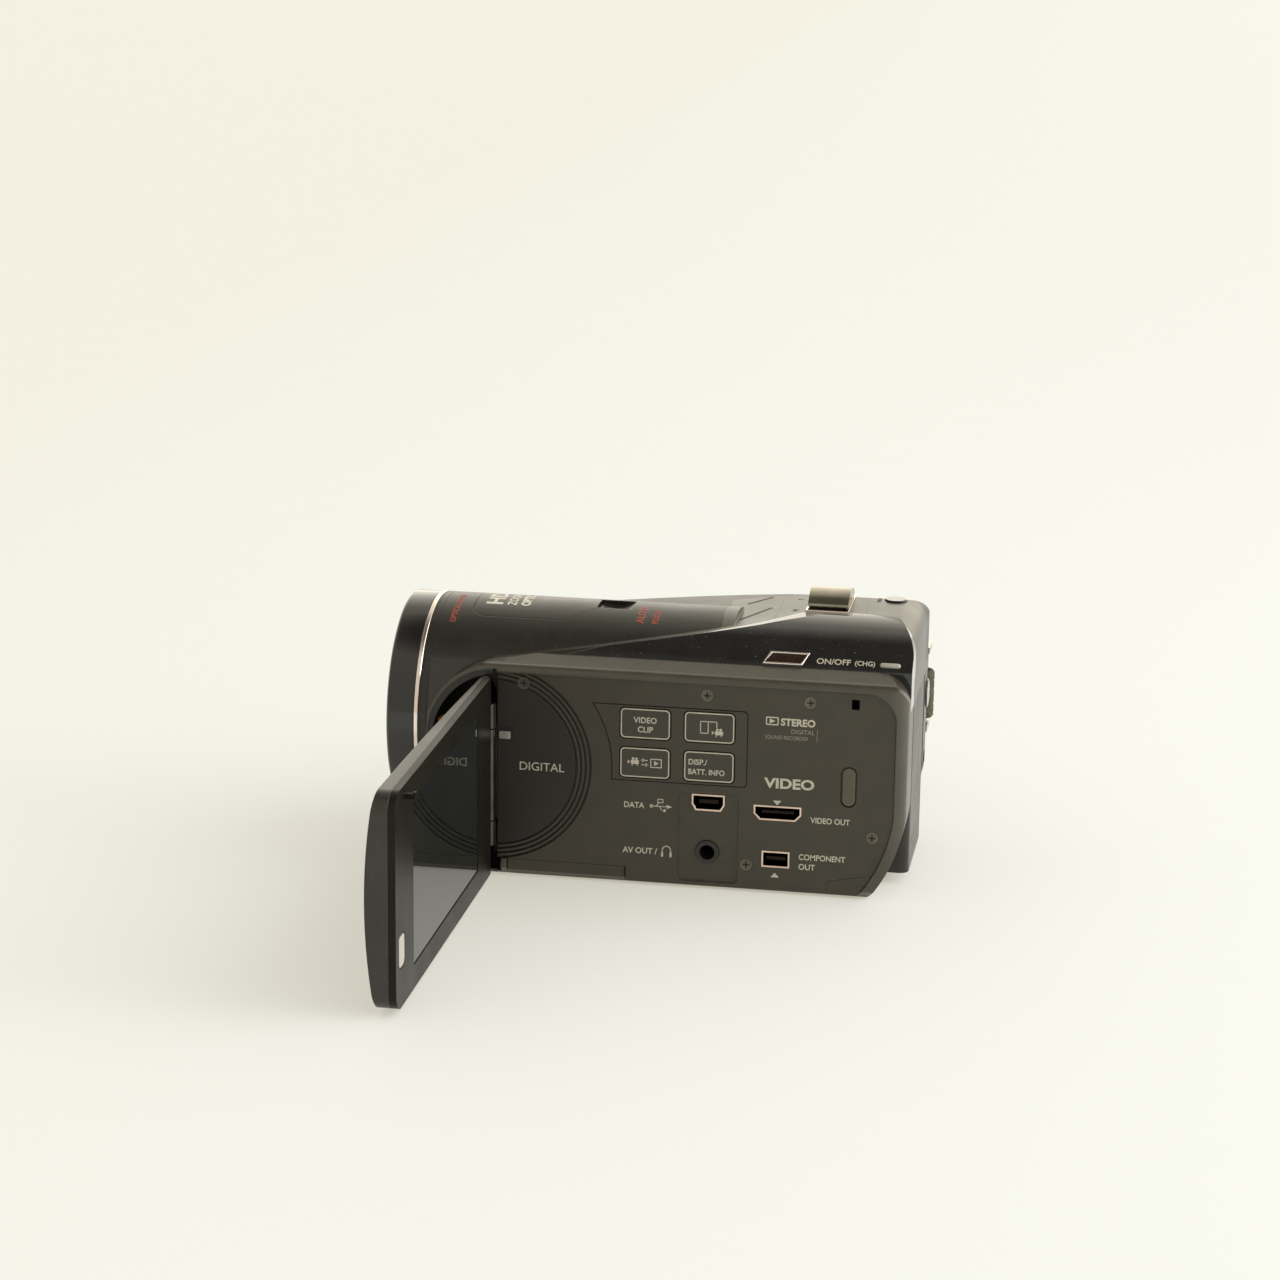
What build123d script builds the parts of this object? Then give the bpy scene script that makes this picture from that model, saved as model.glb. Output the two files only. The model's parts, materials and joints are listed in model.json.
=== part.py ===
from build123d import *
import math
import os

# Compact camcorder with a swing-out screen, in millimetres.
# Every size is given at a station: x from the front rim towards the back, y from the
# connector bay's face towards the hand grip, z up from the base. The exported parts are
# shifted so that the tripod socket's mouth is the origin, and the screen stands open.

# Driving dimensions
BODY_LENGTH = 123.3     # front rim to rear face
BODY_WIDTH = 60.0       # bay face to grip side
BODY_HEIGHT = 62.3      # base to the top of the control deck
WALL = 1.6              # thickness of the casing
SEAM = 0.06             # half of the visible gap between two casing parts
RUN = 0.2               # gap round a button that travels
FIT = 0.05              # radial clearance of a shaft or pin

BARREL_Y, BARREL_Z, BARREL_R = 26.4, 34.8, 26.3
FRONT_BAND = 6.7        # length of the glossy front ring
TRIM_BACK = 7.9         # back of the bright trim ring
CASE_FRONT = 9.9        # where the casing behind the barrel starts
FILTER_R = 21.1         # wall of the 43 mm filter thread
FILTER_LENGTH = 3.6
TRIPOD_X, TRIPOD_Y, TRIPOD_R, TRIPOD_DEPTH = 62.0, 28.0, 2.55, 5.6

SWING_X, SWING_Y = 25.4, -1.6       # the screen's upright hinge pin
PIN_R = 0.6
KNUCKLE_R = 1.4
POCKET_R = 14.0                     # sweep of the hinge cover inside the casing
POCKET_Z = (0.9, 49.7)
COVER_END = 12.2                    # the hinge cover's free end, screen closed
LID_START, LID_END = 27.1, 120.0    # the screen panel, closed
LID_Z = (1.2, 49.3)
LID_FACE = -0.8                     # the screen side of the closed panel
LID_THICK = 7.0
LID_MID_Z = (LID_Z[0] + LID_Z[1]) / 2
LID_MID_Y = LID_FACE - LID_THICK / 2
TILT_R = 1.9                        # the hollow shaft that the panel turns on
SCREEN_LENGTH, SCREEN_HEIGHT = 63.0, 37.0
SCREEN_X = 72.5                     # middle of the screen, closed

BAY_DEPTH = 0.5                     # the bay's face lies this far below the casing
BAY_THICK = 1.2
BAY_X = (27.0, 120.6)
BAY_Z = (0.8, 49.9)
DISC_X, DISC_Z = 25.7, 28.0
DISC_RADII = (20.3, 21.4, 22.5, 23.6)
KEY_X, KEY_Z = (56.3, 71.4), (26.3, 35.8)
KEY_W, KEY_H = 11.8, 7.3
BAY_SCREWS = ((33.3, 47.5), (76.6, 47.1), (100.7, 46.8), (115.8, 15.1), (86.5, 6.6))
LATCH_X, LATCH_Z = 111.1, 46.9
USB_X, USB_Z = 77.3, 21.2
JACK_X, JACK_Z, JACK_R, JACK_DEPTH = 77.2, 9.0, 1.8, 14.6
VIDEO_X, VIDEO_Z = 93.6, 19.7
COMPONENT_X, COMPONENT_Z = 93.4, 8.4
BOARD_Y = 10.8

SIDE_DEPTH = 6.0                    # how far the bay-side casing reaches in from its face
CORNER_R, CORNER_X, CORNER_Z = 9.0, 114.6, 44.8    # its round upper rear corner
DECK_X = (96.0, 106.3)              # slot of the zoom lever
DECK_Y = (24.6, 42.6)
DECK_SEAM, REAR_SEAM = 89.2, 110.0  # across the deck, in front of and behind the zoom lever
BATTERY_X, BATTERY_Y, BATTERY_Z = (99.6, 123.3), (13.2, 43.6), (2.6, 43.2)
BATTERY_DROP = 10.0                 # how far the battery slides down to leave its claws
CARD_X, CARD_Y, CARD_Z = (31.0, 55.0), (7.0, 9.1), (4.9, 36.9)
DOOR_X, DOOR_Y, DOOR_Z = (29.4, 57.8), 21.0, 4.2
SHOE_X, SHOE_Y = (17.0, 46.5), (16.0, 36.8)

COVER_R, COVER_TRAVEL = 11.8, 11.7  # each half of the lens cover
GLASS_R, GLASS_X = 12.5, (10.9, 16.2)
TUBE_END, TUBE_BORE = 66.0, 10.4
BEZEL_BACK = LID_FACE - 1.6         # joint between the screen's front frame and back cover
COVER_BACK = -2.1                   # inner side of the hinge cover, closed
RECORD_X, RECORD_Z = (112.2, 117.0), (10.2, 17.2)
BASE_SCREWS = ((32.0, 44.0), (74.0, 10.0), (74.0, 44.0), (96.0, 10.0))
BAY_KEYS = {"key_clip": (KEY_X[0], KEY_Z[1]), "key_play": (KEY_X[1], KEY_Z[1]),
            "key_mode": (KEY_X[0], KEY_Z[0]), "key_display": (KEY_X[1], KEY_Z[0])}
SHOULDER_SLOPE = 41.6               # lean of the glossy shoulder at its buttons
POWER_X = 93.9
PHOTO_X, PHOTO_Y = 116.0, 39.5
LEVER_Y, LEVER_Z = (27.0, 33.6, 40.2), (62.8, 66.0)     # the zoom lever's arched cap
START_Y, START_Z = 49.2, 37.0
DC_Y, DC_Z, DC_R, DC_DEPTH = 48.4, 20.0, 1.7, 8.0
MIC_Y, MIC_Z = (6.6, 45.0), 12.6
STRAP_Z = (27.5, 39.5)
FRONT_BAR, REAR_BAR, REAR_BAR_TOP = (36.5, 62.4), (121.6, 61.4), 46.5
STRAP_X, STRAP_Y, STRAP_R = 79.0, 33.9, 51.6    # the arc that the webbing bows on
WEBBING, PAD = 1.6, 4.6                         # thicknesses

TOP = 200.0                         # larger than the object, for cutting blocks


def block(x, y, z):
    """A box between two stations on each axis."""
    size = [hi - lo for lo, hi in (x, y, z)]
    middle = [(hi + lo) / 2 for lo, hi in (x, y, z)]
    return Pos(*middle) * Box(*size)


def rod_x(r, x, y, z):
    return Pos((x[0] + x[1]) / 2, y, z) * Rot(0, 90, 0) * Cylinder(r, x[1] - x[0])


def rod_y(r, x, y, z):
    return Pos(x, (y[0] + y[1]) / 2, z) * Rot(90, 0, 0) * Cylinder(r, y[1] - y[0])


def rod_z(r, x, y, z):
    return Pos(x, y, (z[0] + z[1]) / 2) * Cylinder(r, z[1] - z[0])


def face_of(*lines):
    """A face inside joined lines and arcs."""
    return make_face([edge for line in lines for edge in line.edges()])


def side_prism(face, y):
    """An outline drawn in x and z, between two stations of y."""
    return extrude(Plane.XZ.offset(-y[1]) * face, y[1] - y[0])


def end_prism(face, x):
    """An outline drawn in y and z, between two stations of x."""
    return extrude(Plane.YZ.offset(x[0]) * face, x[1] - x[0])


def plan_prism(face, z):
    """An outline drawn in x and y, between two stations of z."""
    return extrude(Plane.XY.offset(z[0]) * face, z[1] - z[0])


def rounded(x, z, r):
    """A rectangle with round corners, in the plane of an outline."""
    return Pos((x[0] + x[1]) / 2, (z[0] + z[1]) / 2) * RectangleRounded(x[1] - x[0], z[1] - z[0], r)


def turned(*points):
    """A solid turned about the lens axis from points of (x, radius)."""
    face = Plane.XY * make_face(Polyline(*points, close=True))
    return Pos(0, BARREL_Y, BARREL_Z) * revolve(face, Axis.X)


# The outer form of the casing

def section_outline():
    """Across the camera: bay face, ledge, shoulder, deck, grip side and base."""
    left = -BAY_DEPTH
    return face_of(
        Line((2.0, 0), (left, 2.0)),
        Line((left, 2.0), (left, 50.4)),
        ThreePointArc((left, 50.4), (0.2, 51.4), (1.4, 51.8)),
        Line((1.4, 51.8), (SIDE_DEPTH, 53.4)),
        ThreePointArc((SIDE_DEPTH, 53.4), (13.4, 59.1), (26.0, 62.1)),
        Line((26.0, 62.1), (40.0, BODY_HEIGHT)),
        ThreePointArc((40.0, BODY_HEIGHT), (54.2, 54.5), (BODY_WIDTH, 38.0)),
        Line((BODY_WIDTH, 38.0), (BODY_WIDTH, 16.0)),
        ThreePointArc((BODY_WIDTH, 16.0), (57.2, 5.0), (50.0, 0)),
        Line((50.0, 0), (2.0, 0)),
    )


def side_shape():
    """Along the camera: the deck rises to the back, and all four corners are round."""
    front, back, deck = CASE_FRONT, BODY_LENGTH, BODY_HEIGHT
    return face_of(
        ThreePointArc((front, 33.5), (15.4, 47.0), (29.0, 52.5)),
        Line((29.0, 52.5), (86.0, 60.4)),
        ThreePointArc((86.0, 60.4), (96.0, 61.7), (106.0, deck)),
        Line((106.0, deck), (116.8, deck)),
        ThreePointArc((116.8, deck), (121.4, 60.4), (back, 55.8)),
        Line((back, 55.8), (back, 28.0)),
        ThreePointArc((back, 28.0), (121.4, 11.5), (115.0, 0)),
        Line((115.0, 0), (21.9, 0)),
        ThreePointArc((21.9, 0), (13.4, 3.5), (front, 12.0)),
        Line((front, 12.0), (front, 33.5)),
    )


def plan_shape():
    """From above: square at the bay, round behind, and swept back at the grip's front."""
    left, back, right = -BAY_DEPTH, BODY_LENGTH, BODY_WIDTH
    return face_of(
        Line((CASE_FRONT, left), (119.3, left)),
        ThreePointArc((119.3, left), (122.1, 0.7), (back, 3.5)),
        Line((back, 3.5), (back, 50.0)),
        ThreePointArc((back, 50.0), (120.4, 57.1), (113.3, right)),
        Line((113.3, right), (50.0, right)),
        ThreePointArc((50.0, right), (24.0, 52.4), (CASE_FRONT, 32.0)),
        Line((CASE_FRONT, 32.0), (CASE_FRONT, left)),
    )


def casing_form(inset):
    """The whole casing as one solid, its skin moved in by inset."""
    outlines = [section_outline(), side_shape(), plan_shape()]
    if inset:
        outlines = [offset(o, -inset, kind=Kind.INTERSECTION) for o in outlines]
    across, along, above = outlines
    form = end_prism(across, (0, TOP)) & side_prism(along, (-TOP, TOP)) & plan_prism(above, (-TOP, TOP))
    form -= block((CORNER_X, TOP), (-5, SIDE_DEPTH + 0.04 + inset), (CORNER_Z, TOP)) \
        - rod_y(CORNER_R - inset, CORNER_X, (-9, 20), CORNER_Z)
    return form + rod_x(BARREL_R - inset, (TRIM_BACK + inset, 80.0 - inset), BARREL_Y, BARREL_Z)


def pocket_form(grow):
    """The space that the hinge cover swings into."""
    outline = rounded((SWING_X - POCKET_R - grow, 60.0), (POCKET_Z[0] - grow, POCKET_Z[1] + grow), 17.0)
    sweep = rod_z(POCKET_R + grow, SWING_X, SWING_Y, (-1, 60))
    ahead = block((0, BAY_X[0] - SEAM + min(grow, 0)), (-2, 30), (-1, 60))
    return side_prism(outline, (-2, 30)) & sweep & ahead


def bay_outline(shrink):
    """The connector bay's outline: its rear follows the casing, with a notch for the card door."""
    plate = rounded((0, BAY_X[1] - shrink), (BAY_Z[0] + shrink - 20.0, BAY_Z[1] - shrink), 7.0)
    plate &= Pos(BAY_X[1] + BAY_Z[0] - BODY_LENGTH, 0) * offset(side_shape(), -BAY_Z[0] - shrink)
    keep = Pos(BAY_X[0] + 50 + shrink, 50 + BAY_Z[0] + shrink) * Rectangle(100, 100)
    notch = Pos((28.0 + DOOR_X[1]) / 2, DOOR_Z / 2) * Rectangle(DOOR_X[1] - 28.0 + 2 * SEAM, DOOR_Z + 2 * SEAM)
    gap = Pos(28.0, DOOR_Z / 2) * Rectangle(4.0, DOOR_Z + 2 * SEAM)
    return (plate & keep) - notch - gap


# Casing parts: the hollow form cut along its seams

def front_of(x_low, x_high, y, lean=0.0):
    """A cutting block that ends at a seam across the deck, leaning by lean over its width."""
    points = [(x_low, y[0]), (x_high - lean, y[0]), (x_high, y[1]), (x_low, y[1])]
    return plan_prism(make_face(Polyline(*points, close=True)), (40.0, TOP))


def gloss_region():
    """The glossy shoulder seen from above: a wedge that widens to the back."""
    face = face_of(
        Line((42.0, SIDE_DEPTH), (73.0, 13.6)),
        ThreePointArc((73.0, 13.6), (85.0, 18.4), (95.0, 25.6)),
        Line((95.0, 25.6), (110.0, 25.6)),
        ThreePointArc((110.0, 25.6), (118.4, 21.5), (124.0, 13.0)),
        Line((124.0, 13.0), (124.0, SIDE_DEPTH)),
        Line((124.0, SIDE_DEPTH), (42.0, SIDE_DEPTH)),
    )
    return plan_prism(face, (50.5, TOP)) + block((112.0, 124.0), (SIDE_DEPTH, 13.0), (CORNER_Z - 0.6, 50.6))


def cut_casing():
    """Cuts the hollow casing into its parts and returns them by name."""
    cavity = casing_form(WALL)
    shell = casing_form(0) - cavity - pocket_form(1.0)
    shell -= rod_x(24.1, (0, 12), BARREL_Y, BARREL_Z)
    bay_side = block((CASE_FRONT, TOP), (-1, SIDE_DEPTH), (-1, 53.5))
    deck = block((TRIM_BACK, TOP), (SIDE_DEPTH, 44.0), (46.0, TOP))
    barrel = rod_x(BARREL_R + 0.1, (0, 30.0), BARREL_Y, BARREL_Z) + front_of(0, 76.1, (SIDE_DEPTH, 44.0), -1.5)
    rear = block((119.5, TOP), (SIDE_DEPTH, 53.0), (-1, 46.0)) \
        + block((112.0, 121.0), (SIDE_DEPTH, 13.4), (WALL, 12.4))
    base = block((24.0, 119.5), (SIDE_DEPTH, 50.0), (-1, WALL))
    regions = [
        ("gloss_panel", gloss_region()),
        ("left_casing", bay_side),
        ("barrel_housing", barrel),
        ("deck_front_cover", deck & block((0, DECK_SEAM), (-1, 60), (40, 70))),
        ("control_deck", deck & block((0, REAR_SEAM), (-1, 60), (40, 70))),
        ("deck_rear_cap", deck),
        ("rear_frame", rear),
        ("base_plate", base),
    ]
    parts = {}
    for name, region in regions:
        parts[name] = shell & region
        shell = shell - region
    parts["grip_casing"] = shell
    return parts


def skin(depth):
    """The outermost layer of the casing, so that an insert follows its curves."""
    return casing_form(0) - casing_form(depth)


# Lens

def front_ring():
    return turned((0, 25.4), (0.9, BARREL_R), (FRONT_BAND, BARREL_R), (FRONT_BAND, 23.9),
                  (0.6 + FILTER_LENGTH, 23.9), (0.6 + FILTER_LENGTH, FILTER_R), (0.6, FILTER_R), (0, 21.7))


def trim_ring():
    low, high, r = FRONT_BAND + SEAM, TRIM_BACK - SEAM, BARREL_R + 0.1
    return turned((low, 23.9), (low, r), (high, r), (high, 23.9))


def name_ring():
    return turned((4.3, 23.8), (8.2, 23.8), (8.2, 11.6), (7.4, 11.6), (4.3, 20.9))


def lens_cover(side):
    """Half of the round lens cover, drawn back from the opening. side is 1 above, -1 below."""
    half = rod_x(COVER_R, (8.5, 9.3), BARREL_Y, BARREL_Z)
    half &= block((0, 20), (0, 60), (BARREL_Z, TOP) if side > 0 else (-TOP, BARREL_Z))
    return Pos(0, 0, side * COVER_TRAVEL) * half


def front_glass():
    """A round lens element, domed in front and a little behind."""
    element = rod_x(GLASS_R, GLASS_X, BARREL_Y, BARREL_Z)
    for ball, x in ((34.0, GLASS_X[0] + 34.0), (80.0, GLASS_X[1] - 80.0)):
        element &= Pos(x, BARREL_Y, BARREL_Z) * Sphere(ball)
    return element


def lens_tube():
    return turned((9.8, 12.6), (9.8, 23.4), (10.6, 23.4), (10.6, 15.2), (16.2, 15.2), (17.4, 11.7),
                  (TUBE_END, 11.7), (TUBE_END, TUBE_BORE), (15.8, TUBE_BORE), (15.8, 12.6))


def zoom_group():
    """A lens cell that slides in the tube, with its element."""
    cell = rod_x(TUBE_BORE - FIT, (30.0, 35.0), BARREL_Y, BARREL_Z)
    return cell - rod_x(6.0, (29.0, 31.0), BARREL_Y, BARREL_Z) - rod_x(6.0, (34.0, 36.0), BARREL_Y, BARREL_Z)


def image_sensor():
    y, z = BARREL_Y, BARREL_Z
    return block((TUBE_END + 0.4, TUBE_END + 2.0), (y - 5, y + 5), (z - 4, z + 4)) \
        + block((TUBE_END + 2.0, TUBE_END + 3.2), (y - 10, y + 10), (z - 9, z + 9))


# Connector bay

def bay_plate():
    """The bay's face, with its grooves, recesses and holes."""
    plate = side_prism(bay_outline(SEAM), (0, BAY_THICK)) - block((0, BAY_X[0]), (-5, 5), (-5, 60))
    for r in DISC_RADII:
        ring = rod_y(r + 0.26, DISC_X, (-0.1, 0.45), DISC_Z) - rod_y(r - 0.26, DISC_X, (-1, 1), DISC_Z)
        plate -= ring
    plate -= side_prism(rounded((70.2, 84.5), (1.7, 23.3), 1.2), (-0.1, 0.4))
    plate -= side_prism(key_plate_outline(0.18), (-0.1, 0.6))
    for x in KEY_X:
        for z in KEY_Z:
            plate -= side_prism(key_outline(x, z, RUN), (-1, 2))
    for port in PORTS.values():
        plate -= side_prism(port_outline(port, SEAM), (-1, 2))
    plate -= rod_y(2.8 + SEAM, JACK_X, (-1, 2), JACK_Z)
    plate -= side_prism(rounded((108.2, 111.9), (22.2, 32.0), 1.84), (-1, 0.8))
    plate -= block((LATCH_X - 0.9, LATCH_X + 0.9), (-1, 2), (LATCH_Z - 1.1, LATCH_Z + 1.3))
    for x, z in BAY_SCREWS:
        plate -= rod_y(1.55, x, (-1, 0.7), z) + rod_y(0.75, x, (0.6, 3), z)
    return plate


def key_plate_outline(grow):
    """A plate whose front edge runs round the disc."""
    plate = rounded((44.0, 86.1 + grow), (25.6 - grow, 43.7 + grow), 1.0)
    return plate - Pos(DISC_X, DISC_Z) * Circle(28.8 - grow)


def key_outline(x, z, grow):
    return rounded((x - grow, x + KEY_W + grow), (z - grow, z + KEY_H + grow), 1.0 + grow)


def key_plate():
    plate = side_prism(key_plate_outline(0), (-0.05, 0.55))
    for x in KEY_X:
        for z in KEY_Z:
            plate -= side_prism(key_outline(x, z, RUN), (-1, 2))
    return plate


def bay_key(x, z):
    """A flat key with a wider foot behind the plate."""
    return side_prism(key_outline(x, z, 0), (-0.1, 1.4)) + side_prism(key_outline(x, z, 0.8), (2.0, 2.6)) \
        + side_prism(key_outline(x, z, -0.5), (1.3, 2.1))


PORTS = {       # each socket's middle, its outline about the middle, and its tongue's size
    "usb_port": ((USB_X, USB_Z), ((-3.9, 2.0), (3.9, 2.0), (3.9, -0.5), (3.0, -2.0), (-3.0, -2.0), (-3.9, -0.5)),
                 (4.6, 1.0)),
    "video_port": ((VIDEO_X, VIDEO_Z), ((-5.6, 1.8), (5.6, 1.8), (5.6, -0.3), (4.2, -1.8), (-4.2, -1.8), (-5.6, -0.3)),
                   (7.6, 0.7)),
    "component_port": ((COMPONENT_X, COMPONENT_Z), ((-3.3, 2.0), (3.3, 2.0), (3.3, -2.0), (-3.3, -2.0)),
                       (4.6, 0.8)),
}


def port_outline(port, grow):
    (x, z), points, _ = port
    outline = make_face(Polyline(*points, close=True))
    return Pos(x, z) * (offset(outline, grow, kind=Kind.INTERSECTION) if grow else outline)


def port(spec):
    """A metal socket: a thin shell with a closed back and a contact tongue."""
    (x, z), _, (wide, thick) = spec
    shell = side_prism(port_outline(spec, 0), (-0.05, BOARD_Y - 0.4))
    shell -= side_prism(port_outline(spec, -0.4), (-1, BOARD_Y - 1.2))
    tongue = block((x - wide / 2, x + wide / 2), (1.0, BOARD_Y - 0.8), (z - thick / 2, z + thick / 2))
    return shell + tongue


def av_jack():
    body = rod_y(2.8, JACK_X, (-0.05, BAY_THICK + 0.2), JACK_Z)
    body += block((JACK_X - 3.4, JACK_X + 3.4), (BAY_THICK + 0.2, JACK_DEPTH + 1.0), (JACK_Z - 3.2, JACK_Z + 3.2))
    return body - rod_y(JACK_R, JACK_X, (-1, JACK_DEPTH), JACK_Z)


def main_board():
    board = block((59.0, 115.5), (BOARD_Y, BOARD_Y + 1.0), (5.6, 47.0))
    return board - block((JACK_X - 3.6, JACK_X + 3.6), (0, 20), (0, JACK_Z + 3.5))


def casing_screws():
    """Small countersunk screws: five in the bay and four in the base."""
    screws = []
    for x, z in BAY_SCREWS:
        head = rod_y(1.5, x, (0.05, 0.65), z) - cross_slot().moved(Location((x, 0.05, z)))
        screws.append(head + rod_y(0.7, x, (0.6, 3.4), z))
    for x, y in BASE_SCREWS:
        screws.append(rod_z(1.5, x, y, (0.2, 0.9)) + rod_z(0.7, x, y, (0.8, 3.6)))
    return Part() + screws


def cross_slot():
    return block((-0.8, 0.8), (-0.2, 0.3), (-0.15, 0.15)) + block((-0.15, 0.15), (-0.2, 0.3), (-0.8, 0.8))


# Swing-out screen, modelled closed

def lid_section(x, edge, crown):
    """The panel across its length: flat on the screen side, crowned outside."""
    low, high = LID_Z
    face = face_of(
        Line((LID_FACE, low), (LID_FACE, high)),
        Line((LID_FACE, high), (-edge, high)),
        ThreePointArc((-edge, high), (-crown, LID_MID_Z), (-edge, low)),
        Line((-edge, low), (LID_FACE, low)),
    )
    return Plane.YZ.offset(x) * face


def lid_form(shrink=0.0):
    """The closed screen with its hinge cover, as one smooth lozenge."""
    body = loft([
        lid_section(COVER_END - 1, 2.4 - shrink, 5.2 - shrink),
        lid_section(LID_START, 3.2 - shrink, 6.8 - shrink),
        lid_section(70.0, 4.7 - shrink, 7.8 - shrink),
        lid_section(LID_END + 1, 5.5 - shrink, 7.6 - shrink),
    ])
    low, high = LID_Z[0] + shrink, LID_Z[1] - shrink
    front, back = COVER_END + shrink, LID_END - shrink
    nose, corner = 16.0, 4.5 - shrink / 2
    outline = face_of(
        Line((back, low + corner), (back, high - corner)),
        RadiusArc((back, high - corner), (back - corner, high), -corner),
        Line((back - corner, high), (front + nose, high)),
        RadiusArc((front + nose, high), (front, high - nose), -nose),
        Line((front, high - nose), (front, low + nose)),
        RadiusArc((front, low + nose), (front + nose, low), -nose),
        Line((front + nose, low), (back - corner, low)),
        RadiusArc((back - corner, low), (back, low + corner), -corner),
    )
    return body & side_prism(outline, (-20, 5))


def opened(part):
    """Swings a closed screen part out to a right angle with the camera."""
    return Pos(SWING_X, SWING_Y, 0) * Rot(0, 0, -90) * Pos(-SWING_X, -SWING_Y, 0) * part


def panel_space():
    return block((LID_START, TOP), (-20, 5), (-5, 60))


def lcd_back_cover():
    shell = (lid_form() - lid_form(1.3)) & panel_space() & block((0, TOP), (-20, BEZEL_BACK), (-5, 60))
    end_wall = lid_form() & block((LID_START, LID_START + 1.3), (-20, BEZEL_BACK), (-5, 60))
    return shell + end_wall - rod_x(TILT_R + FIT, (20, 40), LID_MID_Y, LID_MID_Z)


def lcd_bezel():
    frame = lid_form() & panel_space() & block((0, TOP), (BEZEL_BACK + SEAM, 0), (-5, 60))
    frame -= block(*window(0.15), (LID_MID_Z - SCREEN_HEIGHT / 2 - 0.15, LID_MID_Z + SCREEN_HEIGHT / 2 + 0.15))
    frame -= side_prism(record_outline(RUN), (-9, 0))
    frame -= rod_x(TILT_R + FIT, (20, 40), LID_MID_Y, LID_MID_Z)
    return frame + latch_hook()


def window(grow):
    half = SCREEN_LENGTH / 2 + grow
    return (SCREEN_X - half, SCREEN_X + half), (-9, 1)


def latch_hook():
    x, z = LATCH_X, LATCH_Z
    return block((x - 0.55, x + 0.55), (LID_FACE - 0.5, 1.5), (z - 0.7, z + 0.4)) \
        + block((x - 0.55, x + 0.55), (1.0, 1.5), (z - 0.7, z + 0.8))


def lcd_glass():
    half = SCREEN_LENGTH / 2
    return block((SCREEN_X - half, SCREEN_X + half), (LID_FACE - 0.95, LID_FACE - 0.15),
                 (LID_MID_Z - SCREEN_HEIGHT / 2, LID_MID_Z + SCREEN_HEIGHT / 2))


def lcd_module():
    half = SCREEN_LENGTH / 2 + 1.2
    return block((SCREEN_X - half, SCREEN_X + half), (-3.6, BEZEL_BACK - 0.1),
                 (LID_MID_Z - SCREEN_HEIGHT / 2 - 0.8, LID_MID_Z + SCREEN_HEIGHT / 2 + 0.8))


def record_outline(grow):
    return rounded((RECORD_X[0] - grow, RECORD_X[1] + grow), (RECORD_Z[0] - grow, RECORD_Z[1] + grow), 1.4)


def lcd_record_button():
    return side_prism(record_outline(0), (BEZEL_BACK - 0.9, LID_FACE - 0.05)) \
        + side_prism(record_outline(0.8), (BEZEL_BACK - 1.6, BEZEL_BACK - 0.8))


def hinge_cover():
    """The rounded end that fills the casing's pocket while the screen is open."""
    ahead = block((0, LID_START - 0.3), (-20, COVER_BACK), (-5, 60))
    shell = (lid_form() - lid_form(1.1)) & ahead
    shell += lid_form() & ahead & block((LID_START - 1.3, LID_START - 0.3), (-20, 5), (-5, 60))
    shell -= rod_z(KNUCKLE_R + 0.3, SWING_X, SWING_Y, (-5, 60))
    return shell - rod_x(2.45, (20, 40), LID_MID_Y, LID_MID_Z)


def hinge_frame():
    """Moving hinge plate with its knuckle and the hollow shaft that the panel tilts on."""
    plate = block((16.0, 25.0), (-3.5, -2.5), (14.8, 35.8))
    plate += rod_z(KNUCKLE_R, SWING_X, SWING_Y, (14.2, 36.4))
    plate += rod_x(2.4, (24.0, LID_START - 0.3), LID_MID_Y, LID_MID_Z)
    plate += rod_x(TILT_R, (24.0, 35.0), LID_MID_Y, LID_MID_Z)
    return plate - rod_z(PIN_R + FIT, SWING_X, SWING_Y, (0, 60)) - rod_x(1.2, (20, 40), LID_MID_Y, LID_MID_Z)


def hinge_bracket():
    """Fixed knuckles above and below the moving one, on a leaf against the well."""
    leaf = block((25.95, 26.85), (SWING_Y, 5.0), (8.0, 42.6)) - block((20, 30), (-9, 0.5), (13.9, 36.7))
    for z in ((8.0, 13.9), (36.7, 42.6)):
        leaf += rod_z(KNUCKLE_R, SWING_X, SWING_Y, z)
    return leaf - rod_z(PIN_R, SWING_X, SWING_Y, (0, 60))


def hinge_pin():
    return rod_z(PIN_R, SWING_X, SWING_Y, (7.6, 43.0))


def hinge_well():
    wall = (pocket_form(1.0) - pocket_form(0)) & casing_form(0)
    return wall - block((BAY_X[0] - 1.0, 40), (-5, BAY_THICK + SEAM), (-5, 60))


# Controls on the deck, shoulder and rear

def deck_slot():
    return block(DECK_X, DECK_Y, (58.6, TOP))


def zoom_frame():
    """A bright trough that the zoom lever runs in."""
    outer = block((DECK_X[0] + SEAM, DECK_X[1] - SEAM), (DECK_Y[0] + SEAM, DECK_Y[1] - SEAM), (58.6, 62.5))
    inner = block((DECK_X[0] + 0.55, DECK_X[1] - 0.55), (DECK_Y[0] + 0.55, DECK_Y[1] - 0.55), (59.2, TOP))
    return outer - inner


def zoom_lever():
    low, middle, high = LEVER_Y
    x = (DECK_X[0] + 0.3, DECK_X[1] - 0.3)
    stem = block((DECK_X[0] + 0.8, DECK_X[1] - 0.8), (low + 0.5, high - 0.5), (59.5, 63.1))
    arch = face_of(
        Line((low, LEVER_Z[0]), (high, LEVER_Z[0])),
        Line((high, LEVER_Z[0]), (high, LEVER_Z[0] + 0.7)),
        ThreePointArc((high, LEVER_Z[0] + 0.7), (middle, LEVER_Z[1]), (low, LEVER_Z[0] + 0.7)),
        Line((low, LEVER_Z[0] + 0.7), (low, LEVER_Z[0])),
    )
    return stem + end_prism(arch, x)


def photo_button():
    return rod_z(2.5, PHOTO_X, PHOTO_Y, (58.2, 62.7)) + rod_z(3.0, PHOTO_X, PHOTO_Y, (58.2, 59.0))


def start_stop_button():
    cap = rod_x(3.5, (118.0, BODY_LENGTH + 0.5), START_Y, START_Z)
    cap = fillet(cap.edges().group_by(Axis.X)[-1], 0.4)
    return cap + rod_x(3.9, (118.0, 119.0), START_Y, START_Z)


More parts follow.
